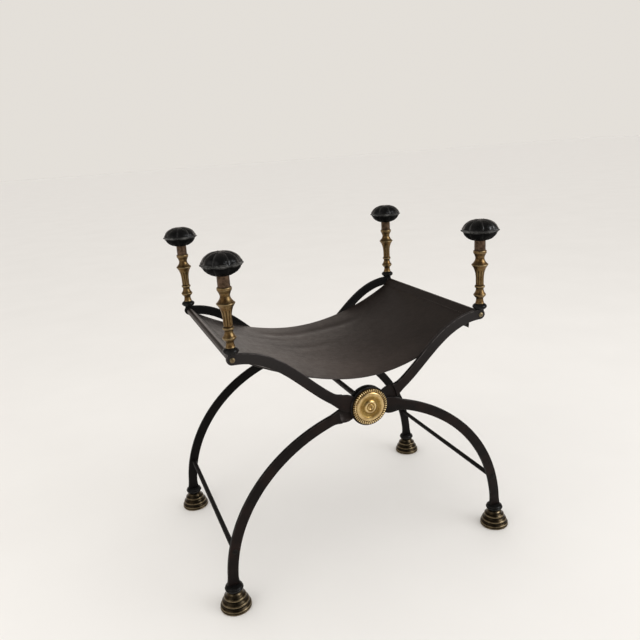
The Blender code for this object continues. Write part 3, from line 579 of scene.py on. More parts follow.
def show(name, mesh, sharp=40):
    mesh.shade_smooth()
    mesh.set_sharp_from_angle(angle=math.radians(sharp))
    piece = bpy.data.objects.new(name, mesh)
    bpy.context.scene.collection.objects.link(piece)
    return piece


def dress(name, mesh, body, slot, *nodes, sharp=40):
    """Shows a piece on the frame that carries it, in place of its solids."""
    piece = show(name, mesh, sharp)
    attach(piece, body)
    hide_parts(*nodes)
    return piece


def softened(points, softness, steps=5):
    """Rounds the corners of a line of points. softness says how far from each corner its curve starts."""
    line = [points[0]]
    for index in range(1, len(points) - 1):
        before, corner, after = (Vector(point) for point in points[index - 1:index + 2])
        reach = min(softness[index], (corner - before).length * 0.48, (after - corner).length * 0.48)
        start = corner + (before - corner).normalized() * reach
        end = corner + (after - corner).normalized() * reach
        for step in range(steps + 1):
            share = step / steps
            line.append(tuple(start.lerp(corner, share).lerp(corner.lerp(end, share), share)))
    line.append(points[-1])
    return line


def finely(points, spacing):
    """The same line with no step longer than spacing."""
    line = [points[0]]
    for start, end in zip(points, points[1:]):
        length = math.dist(start, end)
        parts = max(1, math.ceil(length / spacing))
        for part in range(1, parts + 1):
            line.append(tuple(Vector(start).lerp(Vector(end), part / parts)))
    return line


def profile_relief(profile, window):
    """How far each point of a profile stands out of its surroundings, from -1 in a groove to 1 on a ridge."""
    line = np.array(profile)
    steps = np.linalg.norm(np.diff(line, axis=0), axis=1)
    along = np.concatenate([[0], np.cumsum(steps)])
    tangent = np.gradient(line, axis=0)
    tangent /= np.maximum(np.linalg.norm(tangent, axis=1), 1e-9)[:, None]
    outward = np.stack([-tangent[:, 1], tangent[:, 0]], axis=1)
    weights = np.exp(-((along[:, None] - along[None, :]) / window) ** 2)
    lengths = np.gradient(along)
    weights *= lengths[None, :]
    mean = weights @ line / weights.sum(axis=1)[:, None]
    return np.clip(((line - mean) * outward).sum(axis=1) / (0.22 * window), -1, 1)


def turned_points(profile, steps):
    """Radius, height and angle of each point of a turned piece, with a row for each point of its profile."""
    line = np.array(profile)
    angle = np.arange(steps) * 2 * math.pi / steps
    radius = np.repeat(line[:, :1], steps, axis=1)
    height = np.repeat(line[:, 1:], steps, axis=1)
    return radius, height, np.repeat(angle[None, :], len(line), axis=0)


def ring_faces(rows, columns):
    faces = []
    for row in range(rows - 1):
        for column in range(columns):
            after = (column + 1) % columns
            faces.append((
                row * columns + column,
                (row + 1) * columns + column,
                (row + 1) * columns + after,
                row * columns + after,
            ))
    return faces


def stood(x, y, z, place, facing):
    """Points round the Z axis moved to their place, with the axis laid towards the front or rear if asked."""
    if facing == FRONT:
        x, y, z = x, -z, y
    elif facing == REAR:
        x, y, z = x, z, -y
    return np.stack([x + place[0], y + place[1], z + place[2]], axis=-1).reshape(-1, 3)


def turned(name, profile, place, material, steps=64, facing=0, window=0.0022):
    """A turned piece from radius and height points, from the axis down the outer side to the axis again."""
    radius, height, angle = turned_points(profile, steps)
    points = stood(radius * np.cos(angle), radius * np.sin(angle), height, place, facing)
    standing_out = np.repeat(profile_relief(profile, window), steps)
    edge = np.clip(standing_out, 0, 1)
    marks = {"relief": standing_out, "edge": edge}
    return make_mesh(name, points, ring_faces(len(profile), steps), material, marks)


def member_profile(top, first_radius, members):
    """Softened profile of turned members that hang one under the other, closed on the axis."""
    points = [(0, top), (first_radius, top)]
    softness = [0, 0.0005]
    height = top
    for length, radius, soft in members:
        height -= length
        points.append((radius, height))
        softness.append(soft)
    points.append((0, height))
    softness.append(0)
    return softened(points, softness)


def ball_side(radius, flat_radius, bottom, height, steps):
    """Rounded side of a flattened ball, from its flat top to its flat bottom."""
    lean = math.acos(flat_radius / radius)
    stretch = height / 2 / math.sin(lean)
    middle = bottom + height / 2
    angles = np.linspace(lean, -lean, steps + 1)
    return [(radius * math.cos(angle), middle + stretch * math.sin(angle)) for angle in angles]


def disc_profile(radius, top, bottom=0, bore=0):
    """Profile of a plain disc or rod with small rounded edges."""
    points = [(bore, top), (radius, top), (radius, bottom), (bore, bottom)]
    return softened(points, [0, TURNED_EDGE, TURNED_EDGE, 0])


def rod_mesh(name, radius, half_length, place, material):
    """A hand-drawn rod along Y, slightly uneven."""
    profile = finely(disc_profile(radius, half_length, -half_length), 0.004)
    steps = 28
    radius_table, height, angle = turned_points(profile, steps)
    wobble = np.array([noise.noise(Vector((place[0] * 40, up * 90, 3.1))) for up in height[:, 0]])
    radius_table = radius_table * (1 + 0.02 * wobble[:, None])
    points = stood(radius_table * np.cos(angle), radius_table * np.sin(angle), height, place, FRONT)
    marks = {"edge": np.full(len(points), ROD_WEAR)}
    return make_mesh(name, points, ring_faces(len(profile), steps), material, marks)


def bar_stations():
    """Points along the left frame's bar: middle, direction, half width above and below the middle line."""
    arm_end = Vector((-ARM_REACH, ARM_HEIGHT))
    hub = Vector((0, HUB_HEIGHT))
    leg_end = Vector((FOOT_REACH, LEG_END))
    along = Vector((math.cos(HUB_SLOPE), -math.sin(HUB_SLOPE)))
    arm = interpolate_bezier(
        arm_end, arm_end + Vector((ARM_END_PULL, 0)), hub - along * ARM_HUB_PULL, hub, 110
    )
    leg = interpolate_bezier(
        hub, hub + along * LEG_HUB_PULL, leg_end + Vector((0, LEG_END_PULL)), leg_end, 160
    )
    line = [Vector(point[:2]) for point in arm] + [Vector(point[:2]) for point in leg[1:]]
    directions = [after - before for before, after in zip(line, line[2:])]
    directions = [Vector((1, 0))] + directions + [Vector((0, -1))]
    eye = ARM_WIDTH / 2
    pad_half = PAD_WIDTH / 2
    pad_top = eye + PAD_RISE
    stations = []
    level = Vector((1, 0))
    for turn in np.linspace(math.pi / 2 - 0.03, math.asin(pad_half / eye) + 0.02, 8):
        half = eye * math.cos(turn)
        stations.append((arm_end - level * eye * math.sin(turn), level, half, half))
    half = math.sqrt(eye ** 2 - pad_half ** 2)
    stations.append((arm_end - level * pad_half, level, half, half))
    for across in np.linspace(-pad_half, 0, 4):
        stations.append((arm_end + level * across, level, pad_top, math.sqrt(eye ** 2 - across ** 2)))
    past_pad = False
    for point, direction in zip(line[1:], directions[1:]):
        direction.normalize()
        from_hub = (point - hub).length
        is_arm = point.x < 0
        half = (ARM_WIDTH if is_arm else LEG_WIDTH) / 2
        to_end = abs(point.y - LEG_END)
        if not is_arm and to_end < LEG_FLARE_LENGTH:
            half += LEG_FLARE * (1 - to_end / LEG_FLARE_LENGTH) ** 2
        reach = min(abs(from_hub - SHOULDER_AT) / SHOULDER_SPREAD, 1)
        swelling = (1 + math.cos(math.pi * reach)) / 2
        outer = half + OUTER_SHOULDER * swelling
        fork = half + FORK_SHOULDER * swelling
        above, below = (outer, fork) if is_arm else (fork, outer)
        on_pad = point.x < -ARM_REACH + pad_half
        if not on_pad and not past_pad:
            past_pad = True
            edge = Vector((-ARM_REACH + pad_half, point.y))
            stations.append((edge, direction, pad_top, below))
        stations.append((point, direction, pad_top if on_pad else above, below))
    return stations


def bar_section(above, below):
    """Rounded rectangle round the bar: place across its width and thickness, and whether it is on an edge."""
    thick = BAR_THICKNESS / 2
    edge = min(BAR_EDGE, (above + below) * 0.45)
    corners = (
        (above - edge, thick - edge, 0),
        (edge - below, thick - edge, 90),
        (edge - below, edge - thick, 180),
        (above - edge, edge - thick, 270),
    )
    section = []
    for number, (across, through, start) in enumerate(corners):
        for step in range(5):
            turn = math.radians(start + 90 * step / 4)
            on_edge = math.sin(math.pi * step / 4)
            section.append((across + edge * math.cos(turn), through + edge * math.sin(turn), on_edge))
        if number in (0, 2):
            wide_start = section[-1]
            wide_end = (corners[number + 1][0], wide_start[1])
            for share in (0.25, 0.5, 0.75):
                section.append((wide_start[0] + (wide_end[0] - wide_start[0]) * share, wide_start[1], 0))
    return section


def round_cutter(name, radius, start, end, steps):
    """A round bar along Y that cuts a lap or a hole at the crossing."""
    shape = bmesh.new()
    bmesh.ops.create_cone(
        shape, cap_ends=True, segments=steps, radius1=radius, radius2=radius, depth=abs(end - start)
    )
    turn = Matrix.Rotation(math.pi / 2, 4, "X")
    bmesh.ops.transform(shape, matrix=turn, verts=shape.verts)
    bmesh.ops.translate(shape, vec=(0, (start + end) / 2, HUB_HEIGHT), verts=shape.verts)
    mesh = bpy.data.meshes.new(name)
    shape.to_mesh(mesh)
    shape.free()
    cutter = bpy.data.objects.new(name, mesh)
    bpy.context.scene.collection.objects.link(cutter)
    return cutter


def as_plain_mesh(piece):
    """The piece's mesh with its modifiers worked in."""
    bpy.context.view_layer.update()
    graph = bpy.context.evaluated_depsgraph_get()
    mesh = bpy.data.meshes.new_from_object(piece.evaluated_get(graph))
    mesh.name = piece.name
    return mesh


def drop(piece):
    mesh = piece.data
    bpy.data.objects.remove(piece, do_unlink=True)
    bpy.data.meshes.remove(mesh)


def bar_mesh(name, side, face, material, side_material):
    """A forged bar, halved where it crosses the other: the left frame keeps the outer half.

    side_material is a darker iron for its narrow sides below the seat, painted shade.
    """
    middle = face * BAR_MIDDLE
    points = []
    edges = []
    stations = bar_stations()
    for place, direction, above, below in stations:
        normal = Vector((-direction.y, direction.x))
        for across, through, on_edge in bar_section(above, below):
            spot = place + normal * across
            point = Vector((-side * spot.x, middle + through, spot.y))
            blow = HAMMER_DEPTH * noise.noise(point * HAMMER_SPOTS) * (1 - EDGE_HELD_IN * on_edge)
            point.y += blow if through > 0 else -blow
            points.append(point)
            # Edges paler towards the arms and on their upper side: wear and painted light.
            held_and_lit = LEG_EDGE_WEAR_AND_LIGHT + (1 - LEG_EDGE_WEAR_AND_LIGHT) * smooth_step(HUB_HEIGHT, ARM_HEIGHT, spot.y)
            edges.append(on_edge * (1 if across > 0 else LOWER_EDGE_WEAR_AND_HIGHLIGHT) * held_and_lit)
    columns = len(points) // len(stations)
    faces = ring_faces(len(stations), columns)
    faces.append(tuple(range(columns)))
    faces.append(tuple(range(len(points) - columns, len(points))))
    solid = bpy.data.objects.new(name + "_whole", make_mesh(name, points, faces, material, {"edge": edges}))
    bpy.context.scene.collection.objects.link(solid)
    lap_side = face * side
    cutters = [
        round_cutter("lap", LAP_RADIUS, middle - lap_side * GAP / 2, middle + lap_side * BAR_THICKNESS, 96),
        round_cutter("axle_hole", AXLE + GAP, middle - BAR_THICKNESS, middle + BAR_THICKNESS, 32),
    ]
    for cutter in cutters:
        cut = solid.modifiers.new(cutter.name, "BOOLEAN")
        cut.operation = "DIFFERENCE"
        cut.solver = "EXACT"
        cut.object = cutter
    mesh = as_plain_mesh(solid)
    for piece in [solid] + cutters:
        drop(piece)
    mesh.materials.append(side_material)
    # Narrow sides below the seat take the darker iron: painted shade.
    for polygon in mesh.polygons:
        if abs(polygon.normal.y) < 0.5 and polygon.center.z < SIDES_SHADED_BELOW:
            polygon.material_index = 1
    return mesh


def stretcher_place():
    """Where the leg's middle line passes the height of the stretcher."""
    stations = bar_stations()
    for upper, lower in zip(stations, stations[1:]):
        if upper[0].x > 0 and upper[0].y >= STRETCHER_HEIGHT >= lower[0].y:
            share = (upper[0].y - STRETCHER_HEIGHT) / (upper[0].y - lower[0].y)
            return upper[0].lerp(lower[0], share)
    return stations[-1][0]


def smooth_step(low, high, value):
    share = np.clip((value - low) / (high - low), 0, 1)
    return share * share * (3 - 2 * share)


def post_mesh(name, place, material):
    """A turned brass post with a fluted shaft and fine grooves under its ring."""
    profile = finely(member_profile(POST_HEIGHT, POST_TOP_RADIUS, POST_MEMBERS), 0.0009)
    steps = FLUTES * 8
    radius, height, angle = turned_points(profile, steps)
    standing_out = np.repeat(profile_relief(profile, 0.0024)[:, None], steps, axis=1)
    shaft_top = POST_HEIGHT - sum(member[0] for member in POST_MEMBERS[:SHAFT_FIRST])
    shaft_length = sum(member[0] for member in POST_MEMBERS[SHAFT_FIRST:SHAFT_LAST + 1])
    down = (shaft_top - height) / shaft_length
    fluted = smooth_step(0.03, 0.16, down) * (1 - smooth_step(0.88, 0.97, down))
    channel = np.clip(0.25 + 1.1 * np.cos(FLUTES * angle), 0, 1) * fluted
    radius = radius - FLUTE_DEPTH * channel
    standing_out = standing_out - 0.9 * channel + 0.35 * fluted
    ring_bottom = POST_HEIGHT - sum(member[0] for member in POST_MEMBERS[:3])
    off_axis = radius > POST_TOP_RADIUS / 3
    for below in GROOVES_BELOW_RING:
        groove = np.exp(-(((height - ring_bottom + below) / GROOVE_WIDTH) ** 2)) * off_axis
        radius = radius - GROOVE_DEPTH * groove
        standing_out = standing_out - groove
    points = stood(radius * np.cos(angle), radius * np.sin(angle), height, place, 0)
    marks = {"relief": standing_out.ravel()}
    return make_mesh(name, points, ring_faces(len(profile), steps), material, marks)


def medallion_profile():
    """Dished button, ring, hollow, smooth band and the seat of the rope rim."""
    millimetres = (
        (0, 4.6, 0), (2.6, 4.9, 0.9), (4.5, 6.1, 0.8), (5.6, 5.9, 0.6), (6.6, 5.3, 0.5), (7.6, 5.4, 0.5),
        (9.6, 6.1, 1.1), (11.4, 5.5, 0.9), (12.8, 4.2, 0.8), (14.2, 3.4, 0.8), (17.2, 3.0, 1.4),
        (19.6, 3.4, 1.4), (22.0, 4.6, 1.3), (24.6, 5.4, 1.3), (27.2, 5.2, 0.9), (29.0, 4.2, 0.5),
        (29.6, 3.3, 0.3), (30.0, 2.8, 0.2), (35.8, 2.7, 0.4), (36.4, 2.2, 0.3), (36.4, 0.3, 0.2),
        (36.1, 0, 0.2), (0, 0, 0),
    )
    points = [(across / 1000, up / 1000) for across, up, soft in millimetres]
    return softened(points, [soft / 1000 for across, up, soft in millimetres])


def new_tree(name, inputs):
    """An empty geometry tree with named inputs, and each input's identifier."""
    tree = bpy.data.node_groups.new(name, "GeometryNodeTree")
    tree.interface.new_socket("Geometry", in_out="INPUT", socket_type="NodeSocketGeometry")
    tree.interface.new_socket("Geometry", in_out="OUTPUT", socket_type="NodeSocketGeometry")
    known = {}
    for label, kind in inputs:
        known[label] = tree.interface.new_socket(label, in_out="INPUT", socket_type=kind).identifier
    return tree, known


def end_tree(tree, instances, finish):
    """Ends a tree with real, smooth faces in the given finish."""
    real = add_node(tree, "GeometryNodeRealizeInstances", {"Geometry": instances}).outputs[0]
    smooth = add_node(tree, "GeometryNodeSetShadeSmooth", {"Geometry": real}).outputs[0]
    finished = add_node(tree, "GeometryNodeSetMaterial", {"Geometry": smooth, "Material": finish}).outputs[0]
    add_node(tree, "NodeGroupOutput", {"Geometry": finished})


def grown(name, tree, known, values, base=None):
    """The mesh that a geometry tree makes from these values."""
    piece = bpy.data.objects.new(name, base or bpy.data.meshes.new(name + "_base"))
    bpy.context.scene.collection.objects.link(piece)
    growth = piece.modifiers.new("growth", "NODES")
    growth.node_group = tree
    for label, value in values.items():
        growth[known[label]] = value
    mesh = as_plain_mesh(piece)
    piece.modifiers.clear()
    drop(piece)
    return mesh


def sized_bead(tree, length, width, height):
    """A bead with these sizes along X, Y and Z."""
    ball = add_node(tree, "GeometryNodeMeshIcoSphere", {"Radius": 0.5, "Subdivisions": 2}).outputs["Mesh"]
    size = add_node(tree, "ShaderNodeCombineXYZ", {"X": length, "Y": width, "Z": height}).outputs[0]
    return add_node(tree, "GeometryNodeTransform", {"Geometry": ball, "Scale": size}).outputs[0]


def rope_tree():
    """A ring of slanted beads, like a twisted rope."""
    tree, known = new_tree("rope_rim", (
        ("Ring radius", "NodeSocketFloat"),
        ("Beads", "NodeSocketInt"),
        ("Bead length", "NodeSocketFloat"),
        ("Bead width", "NodeSocketFloat"),
        ("Bead height", "NodeSocketFloat"),
        ("Slant", "NodeSocketFloat"),
        ("Finish", "NodeSocketMaterial"),
    ))
    given = add_node(tree, "NodeGroupInput").outputs
    inputs = {"Vertices": given["Beads"], "Radius": given["Ring radius"]}
    ring = add_node(tree, "GeometryNodeMeshCircle", inputs)
    bead = sized_bead(tree, given["Bead length"], given["Bead width"], given["Bead height"])
    number = add_node(tree, "GeometryNodeInputIndex").outputs[0]
    share = reckon(tree, "DIVIDE", number, given["Beads"])
    turn = reckon(tree, "ADD", reckon(tree, "MULTIPLY", share, 2 * math.pi), given["Slant"])
    rotation = add_node(tree, "ShaderNodeCombineXYZ", {"Z": turn}).outputs[0]
    inputs = {"Points": ring.outputs["Mesh"], "Instance": bead, "Rotation": rotation}
    instances = add_node(tree, "GeometryNodeInstanceOnPoints", inputs).outputs[0]
    end_tree(tree, instances, given["Finish"])
    return tree, known


def stitch_tree():
    """Two rows of stitches, one above the leather and one below, each stitch a little out of line."""
    tree, known = new_tree("seam_stitches", (
        ("Row start", "NodeSocketVector"),
        ("Row end", "NodeSocketVector"),
        ("Under row", "NodeSocketVector"),
        ("Stitches", "NodeSocketInt"),
        ("Length", "NodeSocketFloat"),
        ("Thread", "NodeSocketFloat"),
        ("Lean", "NodeSocketFloat"),
        ("Seed", "NodeSocketInt"),
        ("Finish", "NodeSocketMaterial"),
    ))
    given = add_node(tree, "NodeGroupInput").outputs
    inputs = {"Count": given["Stitches"], "Start Location": given["Row start"], "Offset": given["Row end"]}
    row = add_node(tree, "GeometryNodeMeshLine", inputs, mode="END_POINTS").outputs["Mesh"]
    inputs = {"Geometry": row, "Translation": given["Under row"]}
    under = add_node(tree, "GeometryNodeTransform", inputs).outputs[0]
    rows = add_node(tree, "GeometryNodeJoinGeometry")
    tree.links.new(row, rows.inputs[0])
    tree.links.new(under, rows.inputs[0])
    stitch = sized_bead(tree, given["Thread"], given["Length"], given["Thread"])
    least = reckon(tree, "MULTIPLY", given["Lean"], -1.0)
    chance = add_node(tree, "FunctionNodeRandomValue", data_type="FLOAT")
    tree.links.new(least, chance.inputs[2])
    tree.links.new(given["Lean"], chance.inputs[3])
    tree.links.new(given["Seed"], chance.inputs["Seed"])
    rotation = add_node(tree, "ShaderNodeCombineXYZ", {"Z": chance.outputs[1]}).outputs[0]
    inputs = {"Points": rows.outputs[0], "Instance": stitch, "Rotation": rotation}
    instances = add_node(tree, "GeometryNodeInstanceOnPoints", inputs).outputs[0]
    end_tree(tree, instances, given["Finish"])
    return tree, known


def fastener_tree():
    """A head on each point of the base mesh, turned to face the nearer of front and rear."""
    tree, known = new_tree("fastener_heads", (
        ("Head", "NodeSocketObject"),
        ("Finish", "NodeSocketMaterial"),
    ))
    given = add_node(tree, "NodeGroupInput").outputs
    head = add_node(tree, "GeometryNodeObjectInfo", {"Object": given["Head"]}).outputs["Geometry"]
    place = add_node(tree, "GeometryNodeInputPosition").outputs[0]
    depth = add_node(tree, "ShaderNodeSeparateXYZ", {"Vector": place}).outputs["Y"]
    side = add_node(tree, "ShaderNodeMath", {0: depth}, operation="SIGN").outputs[0]
    turn = reckon(tree, "MULTIPLY", side, -math.pi / 2)
    rotation = add_node(tree, "ShaderNodeCombineXYZ", {"X": turn}).outputs[0]
    inputs = {"Points": given["Geometry"], "Instance": head, "Rotation": rotation}
    instances = add_node(tree, "GeometryNodeInstanceOnPoints", inputs).outputs[0]
    end_tree(tree, instances, given["Finish"])
    return tree, known


def head_mesh(name, radius, height, material):
    """A low domed head, flat side down."""
    dome = [(radius * math.sin(turn), height * math.cos(turn)) for turn in np.linspace(0, 1.45, 12)]
    profile = dome + [(radius, height * 0.06), (radius * 0.98, 0), (0, 0)]
    return turned(name, profile, (0, 0, 0), material, 32)


def joined(name, meshes, material):
    """One mesh from several, all in one finish."""
    shape = bmesh.new()
    for mesh in meshes:
        shape.from_mesh(mesh)
    for face in shape.faces:
        face.material_index = 0
    whole = bpy.data.meshes.new(name)
    shape.to_mesh(whole)
    shape.free()
    whole.materials.append(material)
    return whole


def crown_point(turn):
    """Radius and height of a knob's slack crown at an angle from its top."""
    return (KNOB - KNOB_WELT) * math.sin(turn) ** 0.94, KNOB_UNDERSIDE + KNOB_CROWN * math.cos(turn) ** 0.96


def under_point(turn):
    """Radius and height of a knob's slack underside at an angle below its welt."""
    radius = KNOB_NECK + (KNOB - KNOB_WELT - UNDER_TUCK - KNOB_NECK) * math.cos(turn) ** 1.33
    return radius, KNOB_UNDERSIDE * (1 - 0.965 * math.sin(turn) ** 0.95)


def stuffed_gore():
    """Fills a knob's sewn cover with cloth pressure, and measures how one of its gores swells.

    Seams, welt, crown button and neck are held. Returns the lean of each row from the crown, the share of the
    gore at each column, and the outward and upward moves there, as the mean of all gores.
    """
    columns = 10
    steps = KNOB_GORES * columns
    rows = [(turn, *crown_point(turn), 0) for turn in np.radians(np.linspace(3, 85, 18))]
    rows.append((math.pi / 2, KNOB, KNOB_UNDERSIDE, 1))
    rows += [(math.pi / 2 + turn, *under_point(turn), 0) for turn in np.radians(np.linspace(5, 88, 16))]
    points = []
    held = []
    for row, (lean, radius, height, pinned) in enumerate(rows):
        for column in range(steps):
            angle = 2 * math.pi * column / steps
            if pinned or row in (0, len(rows) - 1) or column % columns == 0:
                held.append(len(points))
            points.append((radius * math.cos(angle), radius * math.sin(angle), height))
    mesh = bpy.data.meshes.new("slack_cover")
    mesh.from_pydata(points, [], ring_faces(len(rows), steps))
    shape = bmesh.new()
    shape.from_mesh(mesh)
    bmesh.ops.holes_fill(shape, edges=shape.edges)
    bmesh.ops.recalc_face_normals(shape, faces=shape.faces)
    shape.to_mesh(mesh)
    shape.free()
    cover = bpy.data.objects.new("slack_cover", mesh)
    bpy.context.scene.collection.objects.link(cover)
    cover.vertex_groups.new(name="sewn").add(held, 1.0, "REPLACE")
    cloth = cover.modifiers.new("stuffing", "CLOTH")
    settings = cloth.settings
    settings.quality = 6
    settings.mass = 0.02
    settings.tension_stiffness = settings.compression_stiffness = settings.shear_stiffness = 5
    settings.bending_stiffness = 0.01
    settings.use_pressure = True
    settings.uniform_pressure_force = STUFFING
    settings.effector_weights.gravity = 0
    settings.vertex_group_mass = "sewn"
    cloth.point_cache.frame_start = 1
    cloth.point_cache.frame_end = FILL_FRAMES
    scene = bpy.context.scene
    for moment in range(1, FILL_FRAMES + 1):
        scene.frame_set(moment)
    filled = cover.evaluated_get(bpy.context.evaluated_depsgraph_get()).to_mesh()
    swollen = np.array([vertex.co[:] for vertex in filled.vertices])
    drop(cover)
    scene.frame_set(1)
    slack = np.array(points)
    out = np.linalg.norm(swollen[:, :2], axis=1) - np.linalg.norm(slack[:, :2], axis=1)
    up = swollen[:, 2] - slack[:, 2]
    moves = []
    for move in (out, up):
        gore = np.clip(move, -MOST_SWELL, MOST_SWELL).reshape(len(rows), KNOB_GORES, columns).mean(axis=1)
        moves.append(np.concatenate([gore, gore[:, :1]], axis=1))
    return np.array([row[0] for row in rows]), np.linspace(0, 1, columns + 1), *moves


def swell(gore, lean, share):
    """The outward and upward moves of a stuffed gore at any lean and share of the gore."""
    leans, shares, *moves = gore
    swelled = []
    for move in moves:
        across = np.array([np.interp(share[0], shares, row) for row in move])
        swelled.append(np.stack([np.interp(lean[:, 0], leans, column) for column in across.T], axis=1))
    return swelled


def knob_rows():
    """Rows of a knob from its crown round the welt and underside into the room for its core.

    Each row is radius, height, share of the crown's relief, of the welt's and of the underside's, and the
    direction that its relief stands out in.
    """
    body = KNOB - KNOB_WELT
    rows = []
    for turn in np.radians(np.linspace(0, 85, 44)):
        rows.append((*crown_point(turn), 1, 0, 0, turn))
    for out, up in WELT_OUTLINE:
        rows.append((body + out, KNOB_UNDERSIDE + up, 0, 1, 0, math.pi / 2))
    for out, up in reversed(WELT_OUTLINE):
        rows.append((body + out, KNOB_UNDERSIDE - up, 0, 1, 0, math.pi / 2))
    for turn in np.radians(np.linspace(5, 88, 40)):
        rows.append((*under_point(turn), 0, 0, 1, math.pi / 2 + turn))
    rows.append((KNOB_NECK, 0, 0, 0, 0, math.pi))
    room_neck = CORE_NECK + GAP
    room_floor = CORE_NECK_LENGTH - GAP
    rows.append((room_neck, 0, 0, 0, 0, 0))
    rows.append((room_neck, room_floor, 0, 0, 0, 0))
    rise = CORE_HEIGHT - CORE_NECK_LENGTH + 2 * GAP
    for turn in np.linspace(math.pi / 2, 0, 8):
        rows.append(((CORE + GAP) * math.sin(turn), room_floor + rise * math.cos(turn), 0, 0, 0, 0))
    return np.array(rows)


def knob_mesh(name, place, spin, seed, gore, crown_material, under_material):
    """A stuffed leather knob: sewn gores with ridged seams, a wavy pinched welt and a gathered underside."""
    steps = KNOB_GORES * 26
    rows = knob_rows()
    radius, height, on_crown, on_welt, on_under, lean = (
        np.repeat(rows[:, column:column + 1], steps, axis=1) for column in range(6)
    )
    angle = np.repeat(np.arange(steps)[None, :] * 2 * math.pi / steps, len(rows), axis=0)
    near_seam = np.abs(np.cos(KNOB_GORES / 2 * (angle - spin)))
    ridge = near_seam ** 70
    valley = near_seam ** 11 - ridge
    swell_out, swell_up = swell(gore, lean, (angle - spin) * KNOB_GORES / (2 * math.pi) % 1)
    stuffed = on_crown + on_under
    ripple = np.zeros_like(radius)
    waves = np.zeros_like(radius)
    for row in range(len(rows)):
        for column in range(steps):
            turn = angle[row, column]
            spot = Vector((math.cos(turn), math.sin(turn), lean[row, column])) * 2.6
            ripple[row, column] = noise.noise(spot + Vector((seed, 0, 0)))
            waves[row, column] = noise.noise(spot * 3.1 + Vector((0, seed, 0)))
    from_top = lean / math.radians(85)
    crown_ridges = smooth_step(0.03, 0.22, from_top) * (1 - 0.35 * smooth_step(0.8, 1.0, from_top))
    crown = crown_ridges * (KNOB_SEAM * ridge - KNOB_VALLEY * valley)
    crown += KNOB_RIPPLE * ripple + KNOB_WAVES * waves
    to_neck = np.clip((lean - math.pi / 2) / (math.pi / 2), 0, 1)
    pleats = np.sin(UNDER_PLEATS * angle + 3 * ripple) * smooth_step(0.15, 0.9, to_neck)
    under = UNDER_SEAM * ridge - UNDER_VALLEY * valley + UNDER_PLEAT_DEPTH * pleats + UNDER_WAVES * waves
    wavy = np.sin(WELT_WAVES * angle + 2.4 * ripple)
    stands_out = on_crown * crown + on_under * under
    radius = radius + stands_out * np.sin(lean) + stuffed * swell_out
    radius += on_welt * (WELT_RIPPLE_OUT * ripple + WELT_WAVE_OUT * wavy)
    height = height + stands_out * np.cos(lean) + stuffed * swell_up
    height += on_welt * (WELT_WAVE_UP * wavy + WELT_RIPPLE_UP * ripple)
    # Seams and welt paler: wear and a painted highlight.
    seam = np.clip((0.38 * on_crown * crown_ridges + 0.15 * on_under) * ridge + on_welt, 0, 1)
    points = stood(radius * np.cos(angle), radius * np.sin(angle), height, place, 0)
    mesh = make_mesh(name, points, ring_faces(len(rows), steps), crown_material, {"seam": seam.ravel()})
    mesh.materials.append(under_material)
    below_welt = place[2] + KNOB_UNDERSIDE - DULL_BELOW
    for polygon in mesh.polygons:
        polygon.material_index = int(polygon.center.z < below_welt)
    return mesh


def seat_curve():
    """The seat's hanging curve: half its span, height of its middle, sag and direction at the right seam."""
    reach = ARM_REACH - SEAM_INSET
    low = SLING_LOW - LEATHER / 2
    sag = ARM_HEIGHT - SEAM_DROP - low
    return reach, low, sag, Vector((1, 2 * sag / reach)).normalized()


def sling_line(hanging):
    """Middle of the leather from the seat's middle over the right rod to its flap's end, as X, Z points."""
    rod = Vector((ARM_REACH, ARM_HEIGHT))
    roll = SEAT_ROD + GAP + LOOP_LEATHER / 2
    reach, low, sag, along = seat_curve()
    places = reach * np.sin(np.linspace(0, math.pi / 2, SEAT_STEPS + 1))
    line = [(across, low + sag * (across / reach) ** 2) for across in places]
    seam = Vector(line[-1])
    down = Vector((along.y, -along.x))
    lean = math.atan2(along.y, along.x)
    for turn in np.linspace(lean + WRAP_TURN, lean - WRAP_TURN, 30):
        line.append((rod.x + roll * math.cos(turn), rod.y + roll * math.sin(turn)))
    under = seam + down * LEATHER
    line.append(tuple(under + along * LOOP_START))
    line.append(tuple(under))
    for share in np.linspace(0.15, 1, 9):
        if hanging:
            inward = HANGING_FLAP_BEND * math.sin(share * math.pi / 2)
            line.append((under.x - inward, under.y - HANGING_FLAP * share ** 1.2))
        else:
            line.append(tuple(under - along * FLAP_LENGTH * share + down * FLAP_DROOP * share ** 1.6))
    return line


def seam_place():
    """The sewn seam inside the right rod, and the direction square to the leather there."""
    reach, low, sag, along = seat_curve()
    return Vector((reach, low + sag)), Vector((-along.y, along.x))


def seat_wrinkles(across, deep):
    """Rise of the worn seat over its even sag: broad hollows and soft streaks along its pull."""
    free = 1 - smooth_step(FREE_FROM, FREE_TO, abs(across))
    rise = HOLLOW_DEPTH * noise.noise(Vector((across * 6, deep * 6, 0.4))) * free
    bent = deep + STREAK_BEND * noise.noise(Vector((across * 7, deep * 4, 1.7)))
    rise += FINE_STREAKS * noise.noise(Vector((across * 5, bent * 42, 2.2))) * free
    for place, start, end, depth, width in SEAT_STREAKS:
        begun = smooth_step(start, start + STREAK_FADE, across)
        ended = smooth_step(end - STREAK_FADE, end, across)
        off = (bent - place) / width
        rise -= depth * math.exp(-off * off) * begun * (1 - ended) * free
    return rise


def edge_columns():
    """Places across the seat's depth, close together at its edges, and the share of the thickness there."""
    half = SLING_WIDTH / 2
    flat = half - EDGE_ROUNDING
    turns = np.radians((90, 66, 44, 22, 0))
    columns = [(flat + EDGE_ROUNDING * math.sin(turn), math.cos(turn)) for turn in turns]
    for inset in (0.0020, 0.0045, 0.0075, 0.0110):
        columns.append((flat - inset, 1))
    inner = flat - 0.0150
    inside = [(place, 1) for place in np.linspace(-inner, inner, 96)]
    far = [(-place, thick) for place, thick in columns]
    return far + inside + columns[::-1]


